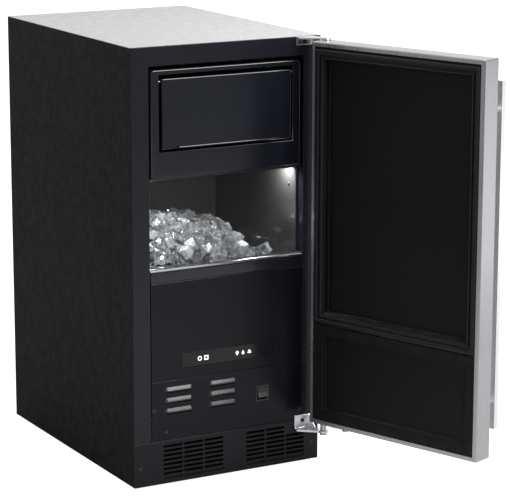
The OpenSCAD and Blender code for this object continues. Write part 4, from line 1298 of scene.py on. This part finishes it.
@dataclass
class IceHeap:
    """Clear cubes that fill the bin, high on the left and low on the right."""

    size: float = 19.0
    count: int = 1100
    seed: int = 7
    rounds: int = 60
    crest: tuple[Point, ...] = ((-150, 0.56), (-105, 0.74), (-60, 0.92), (-10, 0.93), (35, 0.86), (66, 0.68),
                                (82, 0.34), (150, 0.26))
    skin: float = 34.0
    stray: tuple[float, float, float] = (98.0, -222.0, 410.0)
    depths: tuple[Point, ...] = ((0, 0.62), (45, 0.86), (95, 1.0), (190, 0.92), (308, 0.6))
    level: float = 0.3
    ripple: float = 5.0
    spacing: float = 0.62
    sink: float = 0.8
    ease: float = 0.3
    cloudy: float = 0.17
    uneven: Point = (0.9, 1.06)
    dimple: float = 0.03
    dish: Point = (0.14, 0.34)
    melt: Point = (0.06, 0.12)
    wobble: float = 0.035
    sharp_edge: float = 0.6

    def build(self) -> None:
        """Packs the cubes under the heap's surface and makes them one piece."""
        lo, hi = mesh_box("ice_heap")
        places = self._pack(lo, hi)
        draw = random.Random(self.seed)
        heap = Maker()
        for place in places:
            turn = Euler([draw.uniform(0, math.tau) for _ in range(3)]).to_matrix().to_4x4()
            stretch = Matrix.Diagonal((*[draw.uniform(*self.uneven) * self.size for _ in range(3)], 1.0))
            cloudy = draw.random() < self.cloudy
            self._cube(heap, Matrix.Translation(place) @ turn @ stretch, cloudy, draw)
        made = heap.piece("ice_cubes", (ICE_CLEAR, ICE_CLOUDY), "cabinet", "ice", "ice_heap", sharp=70.0)
        made.modifiers.clear()
        LOG.info("ice: %d cubes", len(places))

    def _cube(self, heap: Maker, place: Matrix, cloudy: bool, draw: random.Random) -> None:
        """Adds one cube with melted edges and faces that sink a little.

        Args:
            heap: The mesh that takes it.
            place: Its place, turn and size.
            cloudy: Whether it is cloudy ice.
            draw: Source of the melt's unevenness.
        """
        part = bmesh.new()
        bmesh.ops.create_cube(part, size=1.0)
        bmesh.ops.subdivide_edges(part, edges=part.edges[:], cuts=1, use_grid_fill=True)
        for vertex in part.verts:
            middles = sum(abs(c) < 0.1 for c in vertex.co)
            vertex.co *= 1 - (0.0, self.dimple, draw.uniform(*self.dish))[min(middles, 2)]
        sharp = [e for e in part.edges if e.calc_face_angle(0.0) > self.sharp_edge]
        bmesh.ops.bevel(part, geom=sharp, offset=draw.uniform(*self.melt), segments=2, profile=0.5,
                        affect="EDGES", clamp_overlap=True)
        for vertex in part.verts:
            vertex.co *= 1 + draw.uniform(-self.wobble, self.wobble)
        for face in part.faces:
            face.material_index = int(cloudy)
        part.transform(place)
        heap.take(part)

    def _surface(self, x: np.ndarray, y: np.ndarray, low: float, high: float) -> np.ndarray:
        """Gives the heap's height over points of the bin's floor.

        Args:
            x: Positions across.
            y: Depths behind the bin's front wall.
            low: The bin's floor.
            high: The heap's crest.

        Returns:
            Heights in millimetres.
        """
        across = np.interp(x, [p[0] for p in self.crest], [p[1] for p in self.crest])
        along = np.interp(y, [p[0] for p in self.depths], [p[1] for p in self.depths])
        rough = self.ripple * np.sin(x / 9.0 + 1.3 * np.sin(y / 11.0)) * np.cos(y / 13.0)
        return low + (high - low) * (self.level + (1 - self.level) * across * along) + rough

    def _pack(self, lo: Vector, hi: Vector) -> list[Vector]:
        """Spreads balls evenly under the heap's surface, so that the cubes in them hardly meet.

        Args:
            lo: Low corner of the heap's CAD node.
            hi: Its high corner.

        Returns:
            The cubes' middles.
        """
        rng = np.random.default_rng(self.seed)
        radius = self.spacing * self.size
        floor = lo.z + radius
        points = rng.uniform((lo.x + radius, lo.y + radius, floor),
                             (hi.x - radius, hi.y - radius, hi.z - radius), (self.count * 3, 3))
        sunk = radius * self.sink
        crest = self._surface(points[:, 0], points[:, 1] - lo.y, lo.z, hi.z)
        points = points[points[:, 2] < crest - sunk][: self.count]
        for _ in range(self.rounds):
            apart = points[:, None, :] - points[None, :, :]
            far = np.linalg.norm(apart, axis=2) + np.eye(len(points)) * 1e6
            push = np.clip(2 * radius - far, 0, None) / far
            points = points + self.ease * (apart * push[:, :, None]).sum(axis=1)
            points[:, 0] = np.clip(points[:, 0], lo.x + radius, hi.x - radius)
            points[:, 1] = np.clip(points[:, 1], lo.y + radius, hi.y - radius)
            top = self._surface(points[:, 0], points[:, 1] - lo.y, lo.z, hi.z) - sunk
            points[:, 2] = np.clip(points[:, 2], floor, np.maximum(top, floor))
        shown = top - points[:, 2] < self.skin
        return [*(Vector(p) for p in points[shown]), Vector(self.stray)]


# ---------------------------------------------------------------- ice-making module


@dataclass
class IceModule:
    """Cover, access flap and the freezing module behind them."""

    body: str = "cabinet"
    roll: float = 3.0
    flap_edge: float = 2.0
    recess: float = 15.5
    recess_band: float = 22.0
    recess_reach: tuple[float, float, float, float] = (12.0, 10.0, 12.0, 14.0)
    face_edge: float = 0.8
    drip_drop: float = 9.0
    drip_back: float = 25.6
    drip_inset: float = 2.0
    gap: float = 0.4
    plate_depth: float = 5.0
    lip_edge: float = 1.4

    def build(self) -> None:
        """Makes the cover and the flap and dresses what is behind them."""
        self._cover()
        self._flap()
        dress(STEEL, "flap_pins", "module_frame", "cutter_grid")
        dress(ZINC, "evaporator_plate")
        dress(COPPER, "evaporator_coil")
        dress(DARK_PLASTIC, "water_trough", "pump_motor")
        dress(WHITE_PLASTIC, "water_distributor", "pump_impeller")

    def _cover(self) -> None:
        """Makes the cover, the strip under it and a black band of painted shade deep in the recess round the
        flap.
        """
        lo, hi = mesh_box("evaporator_cover")
        flap_lo, flap_hi = mesh_box("access_flap")
        cover = Maker()
        cover.copy_node("evaporator_cover")
        face = on_front(lo.y)

        def outline(a: Vector, b: Vector) -> bool:
            """Says whether an edge belongs to the face's outer outline."""
            return face(a, b) and all(min(hi.x - abs(p.x), hi.z - p.z, p.z - lo.z) < 9 for p in (a, b))

        cover.round_edges(self.roll, 5, outline)
        cover.round_edges(self.face_edge, 2, face)
        cover.piece("module_cover", COVER_BLACK, self.body, "cover_black", "evaporator_cover")
        drip = Maker()
        r, back = self.drip_drop / 2, lo.y + self.drip_back
        foot = lo.z - self.drip_drop
        nose = arc((back - r + 2, foot + r), r, 90, 270, 10)
        drip.prism([(back, lo.z - self.gap), *nose, (back, foot)], 0,
                   lo.x + self.drip_inset, hi.x - self.drip_inset)
        drip.piece("drip_strip", LINER_BLACK, self.body, "liner_black")
        # Painted shade: a black band set deep behind the gap round the flap, so the gap reads dark and even.
        left, below, right, above = self.recess_reach
        deep, band = lo.y + self.recess, self.recess_band
        recess = Maker()
        recess.frame_run([(0, deep), (0, deep + 1), (band, deep + 1), (band, deep)],
                         (flap_lo.x - left, flap_lo.z - below), (flap_hi.x + right, flap_hi.z + above))
        recess.piece("flap_recess_painted_shade", PAINTED_SHADE_BLACK, self.body, "cover_black")

    def _flap(self) -> None:
        """Makes the flap with its finger lip."""
        lo, hi = mesh_box("access_flap")
        flap = Maker()
        flap.copy_node("access_flap")
        flap.round_edges(self.lip_edge, 3, on_front(lo.y))
        plate = lo.y + self.plate_depth

        def outline(a: Vector, b: Vector) -> bool:
            """Says whether an edge belongs to the outline of the flap's plate."""
            return all(abs(p.y - plate) < 0.02 and (abs(p.x) > hi.x - 4 or p.z > hi.z - 4 or p.z < lo.z + 0.6)
                       for p in (a, b))

        flap.round_edges(self.flap_edge, 4, outline)
        flap.piece("access_panel", COVER_BLACK, "flap", "cover_black", "access_flap")


@dataclass
class Machinery:
    """Refrigeration and connections below and behind the bin."""

    def build(self) -> None:
        """Dresses the machine compartment's nodes."""
        dress(ENAMEL, "compressor")
        dress(RUBBER, "compressor_mounts")
        dress(FIN_METAL, "condenser")
        dress(DARK_PLASTIC, "fan_shroud", "fan_motor", "condenser_fan", "cord_gland", "drain_spigot")
        dress(COPPER, "refrigerant_lines")
        dress(WHITE_PLASTIC, "water_valve")
        dress(GALVANISED, "control_box", "foot_sockets")


@dataclass
class Feet:
    """Four levelling feet."""

    edge: float = 1.2

    def build(self) -> None:
        """Makes each foot with softened edges."""
        for place in ("front_left", "front_right", "back_left", "back_right"):
            soften(f"foot_{place}", f"levelling_foot_{place}", RUBBER, f"foot_{place}_body", "foot_black",
                   self.edge, 3)


@dataclass
class Hinges:
    """Plated brackets and pins with the cabinet's screws."""

    body: str = "cabinet"
    bend: float = 0.8

    def build(self) -> None:
        """Makes the brackets, pins and screws."""
        for node, name, finish, slot, radius in (
            ("hinge_brackets", "bracket_pair", ZINC, "zinc", self.bend),
            ("hinge_pins", "pivot_pins", STEEL, "steel", 0.7),
            ("cabinet_screws", "panel_screws", SCREW_BLACK, "steel", 0.25),
        ):
            soften(node, name, finish, self.body, slot, radius)


# ---------------------------------------------------------------- door


def door_place() -> Matrix:
    """Works out how the closed door is swung to where it stands.

    Returns:
        The matrix, in millimetres.
    """
    joint = next(j for j in frame["joints"] if j["name"] == "door_hinge")
    pivot = Matrix.Translation(Vector(joint["pos_m"]) / MM)
    swing = Matrix.Rotation(math.radians(-joint["range_deg"][0]), 4, Vector(joint["axis"]))
    return pivot @ swing @ pivot.inverted()


@dataclass
class Door:
    """Stainless door with its liners, gasket, hinge blocks and handle."""

    body: str = "door"
    place: Matrix = field(default_factory=door_place)
    corner: float = 2.0
    dish_round: float = 2.5
    rim: float = 20.0
    wall: float = 2.0
    hinge_band: float = 14.0
    seal_band: float = 18.0
    seal_bulb: float = 4.6
    seal_crest: float = 2.6
    seal_fin: float = 2.0

    def build(self) -> None:
        """Makes the door's pieces."""
        self._shell()
        self._liners()
        self._gasket()
        for node, name, finish, slot, radius in (
            ("door_handle", "handle_bar", HANDLE_STEEL, "stainless", 2.2),
            ("door_hinge_blocks", "hinge_corner_blocks", STEEL, "steel", 0.4),
        ):
            soften(node, name, finish, self.body, slot, radius, 3, self.place)
        dress(FOAM, "door_core")

    def _shell(self) -> None:
        """Makes the steel wrapper with its rounded outer edges."""
        lo, hi = mesh_box("door_shell", self.place)
        shell = Maker(self.place)
        shell.copy_node("door_shell")

        def outer(a: Vector, b: Vector) -> bool:
            """Says whether an edge lies where two outer faces meet.

            Args:
                a: One end of the edge.
                b: Its other end.

            Returns:
                True if it does.
            """
            mid = (a + b) / 2
            on = sum(min(abs(mid[i] - lo[i]), abs(mid[i] - hi[i])) < 0.02 for i in range(3))
            return on == 2 and (a - b).length > 20

        shell.round_edges(self.corner, 4, outer)
        shell.bm.normal_update()
        for skin in shell.bm.faces:
            if skin.normal.y > 0.2 and skin.calc_center_median().x > hi.x - self.hinge_band:
                skin.material_index = 1
        shell.piece("door_wrapper", (STAINLESS, GASKET), self.body, "stainless", "door_shell")

    def _liners(self) -> None:
        """Makes the two moulded liners with softened dishes."""
        inset = self.rim + self.wall - 0.1
        for node, name in (("door_upper_liner", "upper_liner"), ("door_lower_liner", "lower_liner")):
            lo, hi = mesh_box(node, self.place)
            liner = Maker(self.place)
            liner.copy_node(node)

            def dished(a: Vector, b: Vector, lo: Vector = lo, hi: Vector = hi) -> bool:
                """Says whether an edge belongs to the dish's inner side.

                Args:
                    a: One end of the edge.
                    b: Its other end.
                    lo: Low corner of this liner.
                    hi: Its high corner.

                Returns:
                    True if it does.
                """
                mid = (a + b) / 2
                within = lo.x + inset < mid.x < hi.x - inset and lo.z + inset < mid.z < hi.z - inset
                return within and mid.y > lo.y + self.wall - 0.1 and (a - b).length > 5.5

            liner.round_edges(self.dish_round, 4, dished)
            liner.piece(name, DOOR_LINER, self.body, "door_liner", node)

    def _gasket(self) -> None:
        """Makes the gasket: a flat foot, a soft bellows and a slim inner ridge."""
        lo, hi = mesh_box("door_gasket", self.place)
        band, bulb, tip = self.seal_band, self.seal_bulb, self.seal_crest
        crest = [(0.6 + d * bulb / tip, hi.y + y) for d, y in arc((tip, -tip), tip, 180, 0, 10)]
        fin = arc((band - 3.2, lo.y + 2.6), self.seal_fin, 180, 0)
        section = [(0.0, lo.y), (0.0, lo.y + 1.4), (0.6, lo.y + 1.6), *crest, (2 * bulb + 0.8, lo.y + 1.6),
                   (band - 5.4, lo.y + 1.4), *fin, (band, lo.y + 1.2), (band, lo.y)]
        seal = Maker(self.place)
        seal.frame_run(section, (lo.x, lo.z), (hi.x, hi.z))
        seal.piece("door_seal", GASKET, self.body, "gasket", "door_gasket", sharp=50.0)


# ---------------------------------------------------------------- studio


@dataclass
class Softbox:
    """One rectangular studio light."""

    name: str
    position: tuple[float, float, float]
    aim: tuple[float, float, float]
    size: Point
    power: float

    def build(self) -> None:
        """Hangs the light and turns it to its aim."""
        data = bpy.data.lights.new(self.name, "AREA")
        data.shape = "RECTANGLE"
        data.size, data.size_y = self.size
        data.energy = self.power
        light = bpy.data.objects.new(self.name, data)
        bpy.context.scene.collection.objects.link(light)
        light.location = self.position
        light.rotation_euler = (Vector(self.aim) - Vector(self.position)).to_track_quat("-Z", "Y").to_euler()


@dataclass
class Studio:
    """Pale floor, soft light and the camera."""

    floor_half: float = 20.0
    sky_front: float = 0.42
    sky_back: float = 1.0
    azimuth: float = -29.206
    elevation: float = 12.568
    roll: float = 0.09
    distance: float = 4.2
    target: tuple[float, float, float] = (0.1175, -0.1532, 0.3937)
    lens: float = 160.37
    sensor: float = 36.0
    boxes: tuple[Softbox, ...] = (
        Softbox("key_box", (0.675, -1.2, 2.05), (0.675, -0.232, 0.30), (1.35, 1.9), 80.0),
        Softbox("edge_box", (1.9, -1.25, 0.3), (0.33, -0.65, 0.4), (1.0, 0.6), 1.9),
        Softbox("bin_lamp_glow", (0.134, -0.2215, 0.566), (0.115, -0.195, 0.40), (0.026, 0.02), 0.9),
        Softbox("bin_back_glow", (-0.09, 0.035, 0.560), (-0.10, 0.06, 0.48), (0.12, 0.015), 0.4),
        Softbox("bin_heap_glow", (-0.09, -0.18, 0.560), (-0.10, -0.17, 0.45), (0.10, 0.02), 0.6),
    )

    def build(self) -> None:
        """Sets the floor, world, lights and camera."""
        self._floor()
        self._world()
        for box in self.boxes:
            box.build()
        self._camera()
        view = bpy.context.scene.view_settings
        view.view_transform = "Standard"
        view.look = "None"

    def _floor(self) -> None:
        """Lays the pale floor."""
        part = bmesh.new()
        bmesh.ops.create_grid(part, x_segments=1, y_segments=1, size=self.floor_half)
        mesh = bpy.data.meshes.new("studio_floor")
        part.to_mesh(mesh)
        part.free()
        floor = bpy.data.objects.new("studio_floor", mesh)
        bpy.context.scene.collection.objects.link(floor)
        mesh.materials.append(PAPER.material())

    def _world(self) -> None:
        """Makes the soft white surroundings, full white where the camera looks at them."""
        world = bpy.data.worlds.new("studio_world")
        bpy.context.scene.world = world
        world.use_nodes = True
        tree = world.node_tree
        backdrop = tree.nodes["Background"]
        backdrop.inputs["Color"].default_value = (1, 1, 1, 1)
        seen = tree.nodes.new("ShaderNodeLightPath").outputs["Is Camera Ray"]
        way = tree.nodes.new("ShaderNodeTexCoord").outputs["Generated"]
        depth = wire(tree, "ShaderNodeSeparateXYZ", {0: way}).outputs["Y"]
        soft = span(tree, depth, -0.1, 0.6, (self.sky_front, self.sky_back))
        tree.links.new(math_node(tree, "MAXIMUM", soft, seen), backdrop.inputs["Strength"])

    def _camera(self) -> None:
        """Puts the camera where the object is seen from."""
        data = bpy.data.cameras.new("camera")
        data.lens = self.lens
        data.sensor_width = self.sensor
        data.sensor_fit = "HORIZONTAL"
        data.clip_end = 100.0
        camera = bpy.data.objects.new("camera", data)
        bpy.context.scene.collection.objects.link(camera)
        turn = (Matrix.Rotation(math.radians(self.azimuth), 4, "Z")
                @ Matrix.Rotation(math.radians(90 - self.elevation), 4, "X")
                @ Matrix.Rotation(math.radians(self.roll), 4, "Z"))
        back = Matrix.Translation((0, 0, self.distance))
        camera.matrix_world = Matrix.Translation(self.target) @ turn @ back
        bpy.context.scene.camera = camera


def main() -> None:
    """Builds each sub-assembly in order and reports it."""
    logging.basicConfig(level=logging.INFO, format="%(name)s: %(message)s")
    assemblies = (Studio(), Cabinet(), FrontPanels(), Switch(), Bin(), IceHeap(), IceModule(), Machinery(),
                  Feet(), Hinges(), Door())
    for assembly in assemblies:
        assembly.build()
        LOG.info("built %s", type(assembly).__name__)


if __name__ == "__main__":
    main()
